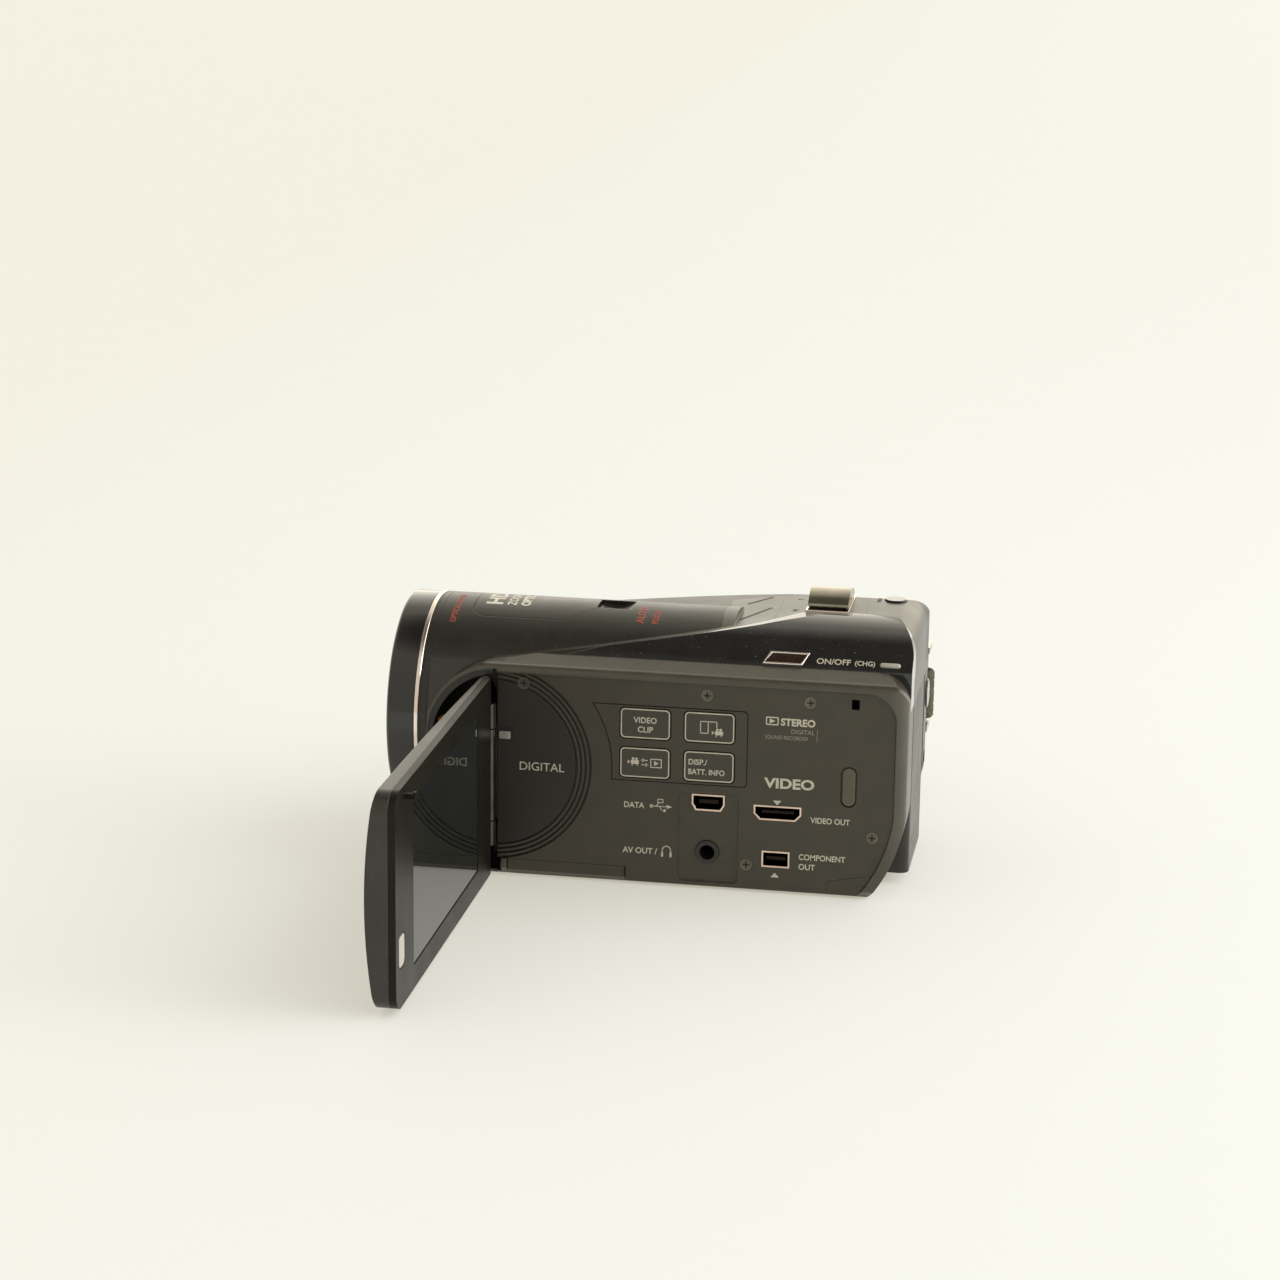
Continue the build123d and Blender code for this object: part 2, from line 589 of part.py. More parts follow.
def shoulder_plane(x):
    """A plane on the glossy shoulder, its normal pointing out of the camera."""
    up = math.radians(SHOULDER_SLOPE)
    return Plane(origin=(x, 7.6, 55.0), x_dir=(1, 0, 0), z_dir=(0, -math.sin(up), math.cos(up)))


def power_outline(grow):
    """A slanted four-sided button face."""
    wide, high, lean = 4.6 + grow, 1.75 + grow, 0.8
    points = [(-wide - lean, -high), (wide - lean, -high), (wide + lean, high), (-wide + lean, high)]
    return make_face(Polyline(*points, close=True))


def power_solid(grow, low, high):
    return extrude(shoulder_plane(POWER_X).offset(low) * power_outline(grow), high - low)


def power_button():
    return power_solid(-0.5, -2.2, 0.3) + power_solid(0.3, -2.8, -2.2)


def battery():
    cell = block(BATTERY_X, BATTERY_Y, BATTERY_Z)
    upright = cell.edges().filter_by(Axis.Z).sort_by(Axis.X)[-2:]
    cell = fillet(upright, 2.2)
    return cell - block((99, 100.6), (20.0, 37.0), (34.0, 50.0))


def battery_room():
    """The battery with the space that it slides through."""
    y, z = BATTERY_Y, BATTERY_Z
    return block((BATTERY_X[0] - 0.25, TOP), (y[0] - 0.25, y[1] + 0.25), (z[0] - 2 * BATTERY_DROP, z[1] + 0.3))


def battery_bay():
    """The open-bottomed box behind the battery, with its contact block."""
    y, z = BATTERY_Y, BATTERY_Z
    outer = block((BATTERY_X[0] - 1.3, 119.4), (y[0] - 1.25, y[1] + 1.25), (1.7, z[1] + 1.4))
    outer &= casing_form(WALL)
    contacts = block((BATTERY_X[0] - 0.3, BATTERY_X[0] + 0.8), (21.0, 36.0), (z[1] - 7.0, z[1] + 0.5))
    return (outer - battery_room()) + contacts


def battery_latch():
    slider = block((87.2, 95.2), (25.4, 32.6), (0.15, 1.3))
    for i in range(4):
        slider -= block((88.8 + 1.5 * i, 89.4 + 1.5 * i), (25, 33), (0, 0.45))
    return slider


# Shoe, card and grip

def shoe_outline(shrink):
    """Round in front and cut across at both rear corners."""
    (front, back), (low, high), cut = SHOE_X, SHOE_Y, 6.6
    return face_of(
        Line((front + shrink, low + 3.5), (front + shrink, high - 3.5)),
        ThreePointArc((front + shrink, high - 3.5), (front + 1.0, high - 1.0), (front + 3.5, high - shrink)),
        Line((front + 3.5, high - shrink), (back - cut, high - shrink)),
        Line((back - cut, high - shrink), (back - shrink, high - cut)),
        Line((back - shrink, high - cut), (back - shrink, low + cut)),
        Line((back - shrink, low + cut), (back - cut, low + shrink)),
        Line((back - cut, low + shrink), (front + 3.5, low + shrink)),
        ThreePointArc((front + 3.5, low + shrink), (front + 1.0, low + 1.0), (front + shrink, low + 3.5)),
    )


def shoe_cover():
    return skin(1.2) & plan_prism(shoe_outline(0.15), (50, 70))


def shoe_rails():
    """The metal accessory shoe in its well: a floor, two walls and two inward lips."""
    x, (low, high) = (19.0, 39.2), (17.2, 35.6)
    rails = block(x, (low, high), (54.3, 54.7))
    for wall, lip in (((low, low + 0.7), (low, low + 3.0)), ((high - 0.7, high), (high - 3.0, high))):
        rails += block(x, wall, (54.3, 57.9)) + block(x, lip, (57.1, 57.9))
    return rails


def nail_scoop():
    return rod_y(9.0, 49.8, (22.6, 30.2), BARREL_Z + BARREL_R + 7.3)


def card_door():
    x = (DOOR_X[0] + 0.15, DOOR_X[1] - 0.15)
    door = block(x, (0, DOOR_Y), (0, 1.3)) + block(x, (0, 0.9), (0, DOOR_Z))
    return (door & casing_form(0)) + rod_x(0.8, x, DOOR_Y, 0.8)


def door_room():
    x = (DOOR_X[0] - 0.05, DOOR_X[1] + 0.05)
    return block(x, (-2, DOOR_Y), (-1, 1.6)) + block(x, (-2, 1.3), (-1, DOOR_Z + 0.2)) \
        + rod_x(1.05, x, DOOR_Y, 0.8) + block(x, (DOOR_Y, DOOR_Y + 1.05), (-1, 0.8))


def card_slot():
    (x0, x1), (y0, y1), (z0, z1) = CARD_X, CARD_Y, CARD_Z
    body = block((x0 - 1.4, x1 + 1.4), (y0 - 1.3, y1 + 1.3), (z0 + 0.3, z1 + 1.6))
    return body - block((x0 - 0.15, x1 + 0.15), (y0 - 0.15, y1 + 0.15), (-5, z1 + 0.2))


def memory_card():
    card = block(CARD_X, CARD_Y, CARD_Z)
    return card - Pos(CARD_X[1], sum(CARD_Y) / 2, CARD_Z[1]) * Rot(0, 45, 0) * Box(4, 10, 4)


def strap_lugs():
    """Two wire bars on ears, which the strap's webbing turns round."""
    ears = []
    for x, y, root, top in ((*FRONT_BAR, 5.0, STRAP_Z[1] + 2.4), (*REAR_BAR, 5.5, REAR_BAR_TOP)):
        bar = rod_z(1.0, x, y, (STRAP_Z[0] - 2.4, top))
        for z in ((STRAP_Z[0] - 2.4, STRAP_Z[0] - 0.9), (top - 1.5, top)):
            bar += block((x - 1.6, x + 1.6), (y - root, y + 1.6), z)
        ears.append(bar - casing_form(0))
    return Part() + ears


def strap_layer(inner, thick, x, z):
    """A length of strap that bows outwards, between two stations of x."""
    ring = rod_z(inner + thick, STRAP_X, STRAP_Y, z) - rod_z(inner, STRAP_X, STRAP_Y, z)
    return ring & block(x, (50.0, TOP), z)


def strap_webbing():
    """Flat webbing outside the pad, turned round both bars."""
    webbing = strap_layer(STRAP_R, WEBBING, (FRONT_BAR[0], REAR_BAR[0]), STRAP_Z)
    for x, y in (FRONT_BAR, REAR_BAR):
        webbing += rod_z(2.9, x, y, STRAP_Z)
    for x, y in (FRONT_BAR, REAR_BAR):
        webbing -= rod_z(1.0 + FIT, x, y, (0, 60))
    return webbing - casing_form(0)


def strap_pad():
    z = (STRAP_Z[0] - 8.5, STRAP_Z[1] + 8.5)
    return strap_layer(STRAP_R - PAD - 0.1, PAD, (47.0, 112.0), z)


# Inside and underneath

def tripod_socket():
    boss = rod_z(5.2, TRIPOD_X, TRIPOD_Y, (0, WALL)) + rod_z(4.4, TRIPOD_X, TRIPOD_Y, (WALL, 6.8))
    return boss - rod_z(TRIPOD_R, TRIPOD_X, TRIPOD_Y, (-1, TRIPOD_DEPTH))


def chassis():
    """A pressed plate on the base with an upright wall that carries the lens and sensor."""
    plate = block((60.0, 97.0), (13.0, 46.0), (2.0, 3.0)) + block((40.0, 60.0), (22.8, 46.0), (2.0, 3.0))
    wall = block((TUBE_END - 3.0, TUBE_END - 1.8), (14.0, 46.0), (2.0, 44.0))
    wall -= rod_x(11.8, (60, 70), BARREL_Y, BARREL_Z)
    plate = plate + wall - rod_z(4.5, TRIPOD_X, TRIPOD_Y, (-1, 20))
    for x, y in BASE_SCREWS:
        plate -= rod_z(0.75, x, y, (0, 5))
    return plate - block((70, 83), (0, JACK_DEPTH + 1.2), (0, 14))


def microphone_grilles():
    plugs = [rod_x(1.7, (9.0, 22.0), y, MIC_Z) & skin(1.2) for y in MIC_Y]
    return Part() + plugs


def dc_jack():
    body = block((113.4, 119.2), (DC_Y - 3.2, DC_Y + 3.2), (DC_Z - 3.2, DC_Z + 3.2))
    body += rod_x(2.9, (119.1, 122.6), DC_Y, DC_Z)
    return body - rod_x(DC_R, (122.6 - DC_DEPTH, TOP), DC_Y, DC_Z)


# Putting it together

def casing_openings():
    """What is cut out of the casing parts, by part."""
    base = door_room() + battery_room() + rod_z(5.2 + SEAM, TRIPOD_X, TRIPOD_Y, (-1, 3))
    base += block((83.9, 95.5), (25.1, 32.9), (-1, 3))
    for x, y in BASE_SCREWS:
        base += rod_z(1.6, x, y, (-1, 1.0)) + rod_z(0.8, x, y, (0, 3))
    rear = battery_room() + rod_x(3.5 + RUN, (110, TOP), START_Y, START_Z) + rod_x(2.95, (110, TOP), DC_Y, DC_Z)
    return {
        "left_casing": side_prism(bay_outline(0), (-2, 3)) + door_room()
        + block((BAY_X[0] - 0.1, BAY_X[0] + 1), (-2, 3), (BAY_Z[0], BAY_Z[1]))
        + rod_x(1.75, (9, 22), MIC_Y[0], MIC_Z),
        "barrel_housing": plan_prism(shoe_outline(0), (54.0, 70)) + nail_scoop(),
        "gloss_panel": power_solid(-0.5 + RUN, -3, 1) + deck_slot(),
        "control_deck": deck_slot(),
        "deck_rear_cap": rod_z(2.5 + RUN, PHOTO_X, PHOTO_Y, (50, 70)),
        "rear_frame": rear,
        "base_plate": base,
        "grip_casing": battery_room() + [rod_x(1.75, (9, 22), y, MIC_Z) for y in MIC_Y],
    }


def bay_lip():
    """A ledge inside the casing that the bay plate is screwed to."""
    ring = side_prism(bay_outline(-1.4), (BAY_THICK - 0.2, 2.4)) - side_prism(bay_outline(1.6), (0, 5))
    ring -= side_prism(bay_outline(0), (0, BAY_THICK + SEAM))
    for x, z in BAY_SCREWS:
        ring -= rod_y(0.75, x, (0, 5), z)
    ring &= block((0, TOP), (0, 5), (3.0, 60))
    return (ring & casing_form(WALL)) - pocket_form(1.0) - door_room()


def casing():
    parts = cut_casing()
    for name, cut in casing_openings().items():
        parts[name] = parts[name] - cut
    parts["left_casing"] += bay_lip()
    return parts


def body_parts():
    """Everything fixed to the casing."""
    parts = casing()
    parts |= {name: port(spec) for name, spec in PORTS.items()}
    parts |= {
        "front_ring": front_ring(), "trim_ring": trim_ring(), "name_ring": name_ring(),
        "front_glass": front_glass(), "lens_tube": lens_tube(),
        "image_sensor": image_sensor(), "bay_plate": bay_plate(), "key_plate": key_plate(),
        "av_jack": av_jack(), "main_board": main_board(),
        "casing_screws": casing_screws(), "hinge_bracket": hinge_bracket(), "hinge_pin": hinge_pin(),
        "hinge_well": hinge_well(), "zoom_frame": zoom_frame(), "battery_bay": battery_bay(), "shoe_rails": shoe_rails(),
        "card_slot": card_slot(), "strap_lugs": strap_lugs(), "strap_webbing": strap_webbing(),
        "strap_pad": strap_pad(), "tripod_socket": tripod_socket(), "chassis": chassis(),
        "microphone_grilles": microphone_grilles(), "dc_jack": dc_jack(),
    }
    return parts


def moving_parts():
    """Everything that travels, in its place at rest."""
    parts = {
        "lens_cover_upper": lens_cover(1), "lens_cover_lower": lens_cover(-1), "zoom_group": zoom_group(),
        "zoom_lever": zoom_lever(), "photo_button": photo_button(), "start_stop_button": start_stop_button(),
        "power_button": power_button(), "battery": battery(), "battery_latch": battery_latch(),
        "shoe_cover": shoe_cover(), "card_door": card_door(), "memory_card": memory_card(),
    }
    for name, (x, z) in BAY_KEYS.items():
        parts[name] = bay_key(x, z)
    screen = {
        "hinge_cover": hinge_cover(), "hinge_frame": hinge_frame(), "lcd_back_cover": lcd_back_cover(),
        "lcd_bezel": lcd_bezel(), "lcd_glass": lcd_glass(), "lcd_module": lcd_module(),
        "lcd_record_button": lcd_record_button(),
    }
    return parts | {name: opened(part) for name, part in screen.items()}


os.makedirs("parts", exist_ok=True)
for node, solid in (body_parts() | moving_parts()).items():
    print(node, len(solid.solids()), round(solid.volume, 1))
    export_step(Pos(-TRIPOD_X, -TRIPOD_Y, 0) * solid, f"parts/{node}.step")
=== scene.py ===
import json
import math

import bmesh
import bpy
import numpy as np
from mathutils import Matrix, Vector
from mathutils.bvhtree import BVHTree

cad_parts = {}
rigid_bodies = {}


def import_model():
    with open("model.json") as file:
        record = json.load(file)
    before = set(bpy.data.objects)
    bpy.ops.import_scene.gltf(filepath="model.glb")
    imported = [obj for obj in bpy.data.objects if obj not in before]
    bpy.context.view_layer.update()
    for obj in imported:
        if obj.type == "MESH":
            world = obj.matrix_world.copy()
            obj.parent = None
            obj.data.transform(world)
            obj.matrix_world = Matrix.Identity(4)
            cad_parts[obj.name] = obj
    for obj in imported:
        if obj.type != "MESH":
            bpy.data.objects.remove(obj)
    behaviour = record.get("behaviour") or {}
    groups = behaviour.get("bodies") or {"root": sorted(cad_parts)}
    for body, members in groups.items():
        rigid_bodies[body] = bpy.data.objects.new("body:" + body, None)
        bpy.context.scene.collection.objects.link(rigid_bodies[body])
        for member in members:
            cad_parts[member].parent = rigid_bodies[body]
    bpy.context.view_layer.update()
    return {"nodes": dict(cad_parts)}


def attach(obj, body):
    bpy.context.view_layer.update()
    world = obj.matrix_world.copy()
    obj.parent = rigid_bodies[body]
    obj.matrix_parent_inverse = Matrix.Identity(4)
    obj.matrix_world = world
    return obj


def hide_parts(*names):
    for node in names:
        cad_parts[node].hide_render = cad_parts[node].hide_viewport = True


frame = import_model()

NODES = frame["nodes"]
SCENE = bpy.context.scene

# Stations of the part, in millimetres: the row's origin, the lens axis, the bay's screws and the rear face
SHIFT = Vector((62.0, 28.0, 0.0))
LENS_Y, LENS_Z = 26.4, 34.8
BAY_SCREWS = ((33.3, 47.5), (76.6, 47.1), (100.7, 46.8), (115.8, 15.1), (86.5, 6.6))
REAR_X = 123.3


def at(x, y, z):
    """A point given in the part's millimetre stations, as the row's metres."""
    return (Vector((x, y, z)) - SHIFT) * 0.001


# Materials

DUST = (0.55, 0.52, 0.45, 1.0)


def material(name):
    m = bpy.data.materials.new(name)
    m.use_nodes = True
    return m, m.node_tree.nodes, m.node_tree.links, m.node_tree.nodes["Principled BSDF"]


def object_noise(nodes, links, scale, detail=4.0, stretch=None):
    place = nodes.new("ShaderNodeTexCoord")
    noise = nodes.new("ShaderNodeTexNoise")
    noise.inputs["Scale"].default_value = scale
    noise.inputs["Detail"].default_value = detail
    if stretch:
        mapping = nodes.new("ShaderNodeMapping")
        mapping.inputs["Scale"].default_value = stretch
        links.new(place.outputs["Object"], mapping.inputs["Vector"])
        links.new(mapping.outputs["Vector"], noise.inputs["Vector"])
    else:
        links.new(place.outputs["Object"], noise.inputs["Vector"])
    return noise.outputs["Fac"]


def ramp(nodes, links, source, stops):
    r = nodes.new("ShaderNodeValToRGB")
    links.new(source, r.inputs["Fac"])
    while len(r.color_ramp.elements) < len(stops):
        r.color_ramp.elements.new(0.5)
    for e, (p, c) in zip(r.color_ramp.elements, stops):
        e.position = p
        e.color = (*c, 1.0) if hasattr(c, "__len__") else (c, c, c, 1.0)
    return r.outputs["Color"]


def mixed(nodes, links, mask, plain, value):
    """Turns a plain colour into a fixed one where the mask is 1."""
    mix = nodes.new("ShaderNodeMix")
    mix.data_type = "RGBA"
    links.new(mask, mix.inputs["Factor"])
    links.new(plain, mix.inputs[6])
    mix.inputs[7].default_value = value
    return mix.outputs[2]


def surface(name, low, high, rough, grain=0.0, depth=0.0, metal=0.0, edge=0.0, patch=180.0,
            spread=0.04, dust=0.0, coat=0.0, stretch=None, specular=0.5):
    """A procedural finish: mottled colour and roughness, fine grain, soft edges and specks of dust."""
    m, nodes, links, shader = material(name)
    shader.inputs["Metallic"].default_value = metal
    shader.inputs["Coat Weight"].default_value = coat
    shader.inputs["Coat Roughness"].default_value = 0.04
    shader.inputs["Specular IOR Level"].default_value = specular
    mottle = object_noise(nodes, links, patch, 6.0)
    colour = ramp(nodes, links, mottle, [(0.3, low), (0.7, high)])
    if dust:
        specks = object_noise(nodes, links, 1500.0, 2.0)
        mask = ramp(nodes, links, specks, [(0.70 - dust * 0.1, 0.0), (0.76 - dust * 0.1, dust)])
        colour = mixed(nodes, links, mask, colour, DUST)
    links.new(colour, shader.inputs["Base Color"])
    wear = object_noise(nodes, links, patch * 0.5, 5.0)
    finish = ramp(nodes, links, wear, [(0.3, max(rough - spread, 0.01)), (0.7, rough + spread)])
    links.new(finish, shader.inputs["Roughness"])
    normal = None
    if edge:
        bevel = nodes.new("ShaderNodeBevel")
        bevel.samples = 4
        bevel.inputs["Radius"].default_value = edge
        normal = bevel.outputs["Normal"]
    if depth:
        bump = nodes.new("ShaderNodeBump")
        bump.inputs["Strength"].default_value = depth
        bump.inputs["Distance"].default_value = 0.00005
        links.new(object_noise(nodes, links, grain, 3.0, stretch), bump.inputs["Height"])
        if normal is not None:
            links.new(normal, bump.inputs["Normal"])
        normal = bump.outputs["Normal"]
    if normal is not None:
        links.new(normal, shader.inputs["Normal"])
    return m


# A lighter copy of the casing matte for the left casing, the decks, their caps and the rear frame: painted
# sheen where the light grazes their tops and shoulders.
FRAME_WITH_SHEEN = surface("frame_matte_painted_sheen", (0.043, 0.0365, 0.0240), (0.054, 0.0460, 0.0305), rough=0.32,
                grain=5200.0, depth=0.30, edge=0.0005, dust=0.08, specular=0.7)
MATTE = surface("casing_matte", (0.0120, 0.0101, 0.0068), (0.0165, 0.0140, 0.0095), rough=0.34,
                grain=5200.0, depth=0.35, edge=0.0003, dust=0.10)
GLOSS = surface("casing_gloss", (0.006, 0.006, 0.006), (0.011, 0.011, 0.011), rough=0.075,
                grain=2400.0, depth=0.02, edge=0.0003, spread=0.03, dust=0.16, coat=0.6)
RING = surface("ring_gloss", (0.005, 0.004, 0.004), (0.008, 0.007, 0.006), rough=0.10,
               grain=900.0, depth=0.02, edge=0.0003, spread=0.03, coat=0.5, dust=0.04)
BAY = surface("bay_matte", (0.035, 0.0295, 0.0180), (0.044, 0.0372, 0.0230), rough=0.40,
              grain=6000.0, depth=0.30, edge=0.0002, dust=0.07)
KEY = surface("key_satin", (0.034, 0.0295, 0.0195), (0.042, 0.0365, 0.0245), rough=0.36,
              grain=6000.0, depth=0.22, edge=0.0002, dust=0.05)
INNER = surface("inner_plastic", (0.010, 0.010, 0.010), (0.018, 0.017, 0.015), rough=0.45,
                grain=4000.0, depth=0.30, edge=0.0002)
TUBE = surface("lens_tube_black", (0.004, 0.004, 0.004), (0.008, 0.008, 0.008), rough=0.55,
               grain=5000.0, depth=0.40)
LID = surface("lid_matte", (0.018, 0.0168, 0.0125), (0.026, 0.0240, 0.0180), rough=0.34,
              grain=5200.0, depth=0.25, edge=0.0005, dust=0.08)
# A darker finish for the LCD bezel: painted shade that holds back the light falling on its face from the
# right.
BEZEL_SHADED = surface("bezel_painted_shade", (0.007, 0.0060, 0.0040), (0.010, 0.0086, 0.0060), rough=0.36,
                grain=5200.0, depth=0.25, edge=0.0003, dust=0.06, specular=0.16)
CHROME = surface("chrome_trim", (0.80, 0.70, 0.64), (0.90, 0.81, 0.75), rough=0.12,
                 grain=3000.0, depth=0.03, metal=1.0, edge=0.00015, spread=0.05)
LEVER = surface("lever_metal", (0.26, 0.24, 0.19), (0.36, 0.33, 0.27), rough=0.20,
                grain=2500.0, depth=0.10, metal=1.0, edge=0.0003, spread=0.05, stretch=(1, 0.06, 1))
STEEL = surface("steel", (0.42, 0.40, 0.37), (0.60, 0.57, 0.53), rough=0.26,
                grain=2600.0, depth=0.25, metal=1.0, edge=0.0002, stretch=(1, 1, 0.08))
PORT = surface("port_metal", (0.62, 0.47, 0.38), (0.80, 0.64, 0.53), rough=0.18,
               grain=3000.0, depth=0.06, metal=1.0, edge=0.0001)
HINGE = surface("hinge_steel", (0.07, 0.064, 0.052), (0.13, 0.12, 0.10), rough=0.30,
                grain=2600.0, depth=0.25, metal=1.0, edge=0.0002)
SCREW = surface("screw_steel", (0.080, 0.073, 0.058), (0.150, 0.137, 0.108), rough=0.30,
                grain=4000.0, depth=0.20, metal=0.9, edge=0.0001)
BRASS = surface("socket_metal", (0.55, 0.42, 0.22), (0.75, 0.60, 0.34), rough=0.24,
                grain=2500.0, depth=0.15, metal=1.0)
SCREEN = surface("screen_glass", (0.006, 0.008, 0.008), (0.010, 0.013, 0.012), rough=0.03,
                 spread=0.008, patch=40.0, specular=0.55)
BOARD = surface("board_green", (0.010, 0.07, 0.03), (0.02, 0.13, 0.05), rough=0.4,
                grain=3000.0, depth=0.3)
CARD = surface("card_blue", (0.012, 0.03, 0.10), (0.02, 0.05, 0.16), rough=0.35,
               grain=3000.0, depth=0.2, edge=0.0002)
INK = surface("label_ink", (0.46, 0.43, 0.35), (0.56, 0.52, 0.43), rough=0.55,
              grain=3000.0, depth=0.15, patch=900.0)
INK_WHITE = surface("label_white", (0.62, 0.59, 0.52), (0.74, 0.70, 0.62), rough=0.5,
                    grain=3000.0, depth=0.15, patch=900.0)
INK_DIM = surface("label_dim", (0.20, 0.18, 0.14), (0.26, 0.24, 0.19), rough=0.5,
                  grain=3000.0, depth=0.15, patch=900.0)
INK_RED = surface("label_red", (0.30, 0.045, 0.02), (0.42, 0.07, 0.03), rough=0.5,
                  grain=3000.0, depth=0.15, patch=900.0)
# Near black for print and the base's seam, and for painted shade in slots, grooves and screw crosses.
DARK_MARKS_AND_SHADE = surface("dark_marks_and_painted_shade", (0.003, 0.003, 0.003), (0.006, 0.006, 0.005), rough=0.5,
                 grain=3000.0, depth=0.15)
RUBBER = surface("rubber_pad", (0.078, 0.070, 0.047), (0.094, 0.085, 0.058), rough=0.6,
                 grain=4500.0, depth=0.5, edge=0.0003)
COPPER = surface("power_inner", (0.05, 0.034, 0.026), (0.12, 0.08, 0.06), rough=0.28,
                 grain=3000.0, depth=0.1, metal=0.9)
FLEX = surface("flex_orange", (0.45, 0.20, 0.04), (0.62, 0.30, 0.07), rough=0.30,
               grain=2500.0, depth=0.1)
LAMP = surface("lamp_clear", (0.34, 0.33, 0.30), (0.46, 0.45, 0.41), rough=0.15,
               grain=2500.0, depth=0.1, coat=0.6)
WEB = surface("webbing", (0.070, 0.066, 0.048), (0.125, 0.117, 0.086), rough=0.8,
              grain=5200.0, depth=0.9, patch=1500.0, specular=0.2)
PAD = surface("pad_fabric", (0.010, 0.010, 0.011), (0.022, 0.022, 0.022), rough=0.92,
              grain=6500.0, depth=1.0, patch=1200.0, specular=0.15)
THREAD = surface("thread", (0.05, 0.05, 0.045), (0.09, 0.085, 0.075), rough=0.8,
                 grain=6000.0, depth=0.6, patch=2500.0, specular=0.2)


# Places for the masks, in the row's metres, and the darker colours that they show
DISC_MIDDLE, DISC_RADIUS, GROOVE_RADIUS = (-0.0363, 0.0, 0.0280), 0.0203, 0.0242
# The hinge pocket's middle, and the reach of the painted highlight round its rim
POCKET_X = -0.0336
POCKET_MIDDLE, POCKET_RADIUS = (POCKET_X, 0.0, 0.0327), 0.0194
BAY_FACE, SHELL_FACE = -0.02788, -0.0275
# the disc's darker colour, and the painted shade in its grooves
DISC_DARK, GROOVE_SHADE = (0.0135, 0.0108, 0.0072), (0.0050, 0.0040, 0.0028)
# the painted shade inside the ports, and the plain casing colour round the hinge pocket's painted highlight
SOCKET_SHADE, CASING_DARK = (0.022, 0.018, 0.014), (0.0120, 0.0101, 0.0068)


def masked(finish, dark, rough, *tests):
    """Darkens a finish where every test holds. A test is a distance, a comparison and its limit in metres."""
    nodes, links = finish.node_tree.nodes, finish.node_tree.links
    shader = nodes["Principled BSDF"]
    place = nodes.new("ShaderNodeTexCoord")
    total = None
    for distance, operation, limit in tests:
        compare = nodes.new("ShaderNodeMath")
        compare.operation = operation
        compare.inputs[1].default_value = limit
        links.new(distance(nodes, links, place.outputs["Object"]), compare.inputs[0])
        both = nodes.new("ShaderNodeMath")
        both.operation = "MULTIPLY"
        both.inputs[1].default_value = 1.0
        links.new(compare.outputs[0], both.inputs[0])
        if total is not None:
            links.new(total, both.inputs[1])
        total = both.outputs[0]
    for socket, value in (("Base Color", (*dark, 1.0)), ("Roughness", (rough, rough, rough, 1.0))):
        plain = shader.inputs[socket].links[0].from_socket
        links.new(mixed(nodes, links, total, plain, value), shader.inputs[socket])


def from_disc(nodes, links, place):
    """Distance from the middle of the round pattern in the bay, seen from the side."""
    flat = nodes.new("ShaderNodeVectorMath")
    flat.operation = "MULTIPLY"
    flat.inputs[1].default_value = (1.0, 0.0, 1.0)
    links.new(place, flat.inputs[0])
    far = nodes.new("ShaderNodeVectorMath")
    far.operation = "DISTANCE"
    far.inputs[1].default_value = DISC_MIDDLE
    links.new(flat.outputs["Vector"], far.inputs[0])
    return far.outputs["Value"]


def along(axis):
    """A mask's distance along one axis of the row."""
    def distance(nodes, links, place):
        split = nodes.new("ShaderNodeSeparateXYZ")
        links.new(place, split.inputs["Vector"])
        return split.outputs[axis]
    return distance


def from_rim(nodes, links, place):
    """Distance from the middle of the hinge pocket's round front, which runs straight to the rear."""
    moved = nodes.new("ShaderNodeVectorMath")
    moved.operation = "SUBTRACT"
    moved.inputs[1].default_value = POCKET_MIDDLE
    links.new(place, moved.inputs[0])
    upper = nodes.new("ShaderNodeVectorMath")
    upper.operation = "MAXIMUM"
    upper.inputs[1].default_value = (-1.0, 0.0, 0.0)
    links.new(moved.outputs["Vector"], upper.inputs[0])
    flat = nodes.new("ShaderNodeVectorMath")
    flat.operation = "MULTIPLY"
    flat.inputs[1].default_value = (1.0, 0.0, 1.0)
    links.new(upper.outputs["Vector"], flat.inputs[0])
    length = nodes.new("ShaderNodeVectorMath")
    length.operation = "LENGTH"
    links.new(flat.outputs["Vector"], length.inputs[0])
    return length.outputs["Value"]


masked(BAY, DISC_DARK, 0.36, (from_disc, "LESS_THAN", DISC_RADIUS))
# Painted shade: near black in the disc's grooves, deeper than the bay's face.
masked(BAY, GROOVE_SHADE, 0.5, (from_disc, "LESS_THAN", GROOVE_RADIUS), (along("Y"), "GREATER_THAN", BAY_FACE))
# Painted shade: the ports' metal is dark inside, deeper than the shell's face.
masked(PORT, SOCKET_SHADE, 0.4, (along("Y"), "GREATER_THAN", SHELL_FACE))
# Back to the plain casing colour on the front of the left casing, except in a band round the hinge pocket's
# rounded rim, which keeps the lighter colour as a painted highlight.
masked(FRAME_WITH_SHEEN, CASING_DARK, 0.34, (from_rim, "GREATER_THAN", POCKET_RADIUS),
       (along("X"), "LESS_THAN", POCKET_X))


def lens_glass():
    m, nodes, links, shader = material("coated_glass")
    shader.inputs["Base Color"].default_value = (0.03, 0.03, 0.05, 1)
    shader.inputs["Coat Weight"].default_value = 1.0
    shader.inputs["Coat Roughness"].default_value = 0.01
    facing = nodes.new("ShaderNodeLayerWeight")
    facing.inputs["Blend"].default_value = 0.35
    violet, blue, green = (0.03, 0.008, 0.05), (0.012, 0.03, 0.08), (0.03, 0.07, 0.04)
    tint = ramp(nodes, links, facing.outputs["Facing"], [(0.0, violet), (0.5, blue), (0.9, green)])
    links.new(tint, shader.inputs["Coat Tint"])
    links.new(tint, shader.inputs["Base Color"])
    wear = object_noise(nodes, links, 300.0, 3.0)
    links.new(ramp(nodes, links, wear, [(0.3, 0.01), (0.7, 0.05)]), shader.inputs["Roughness"])
    return m


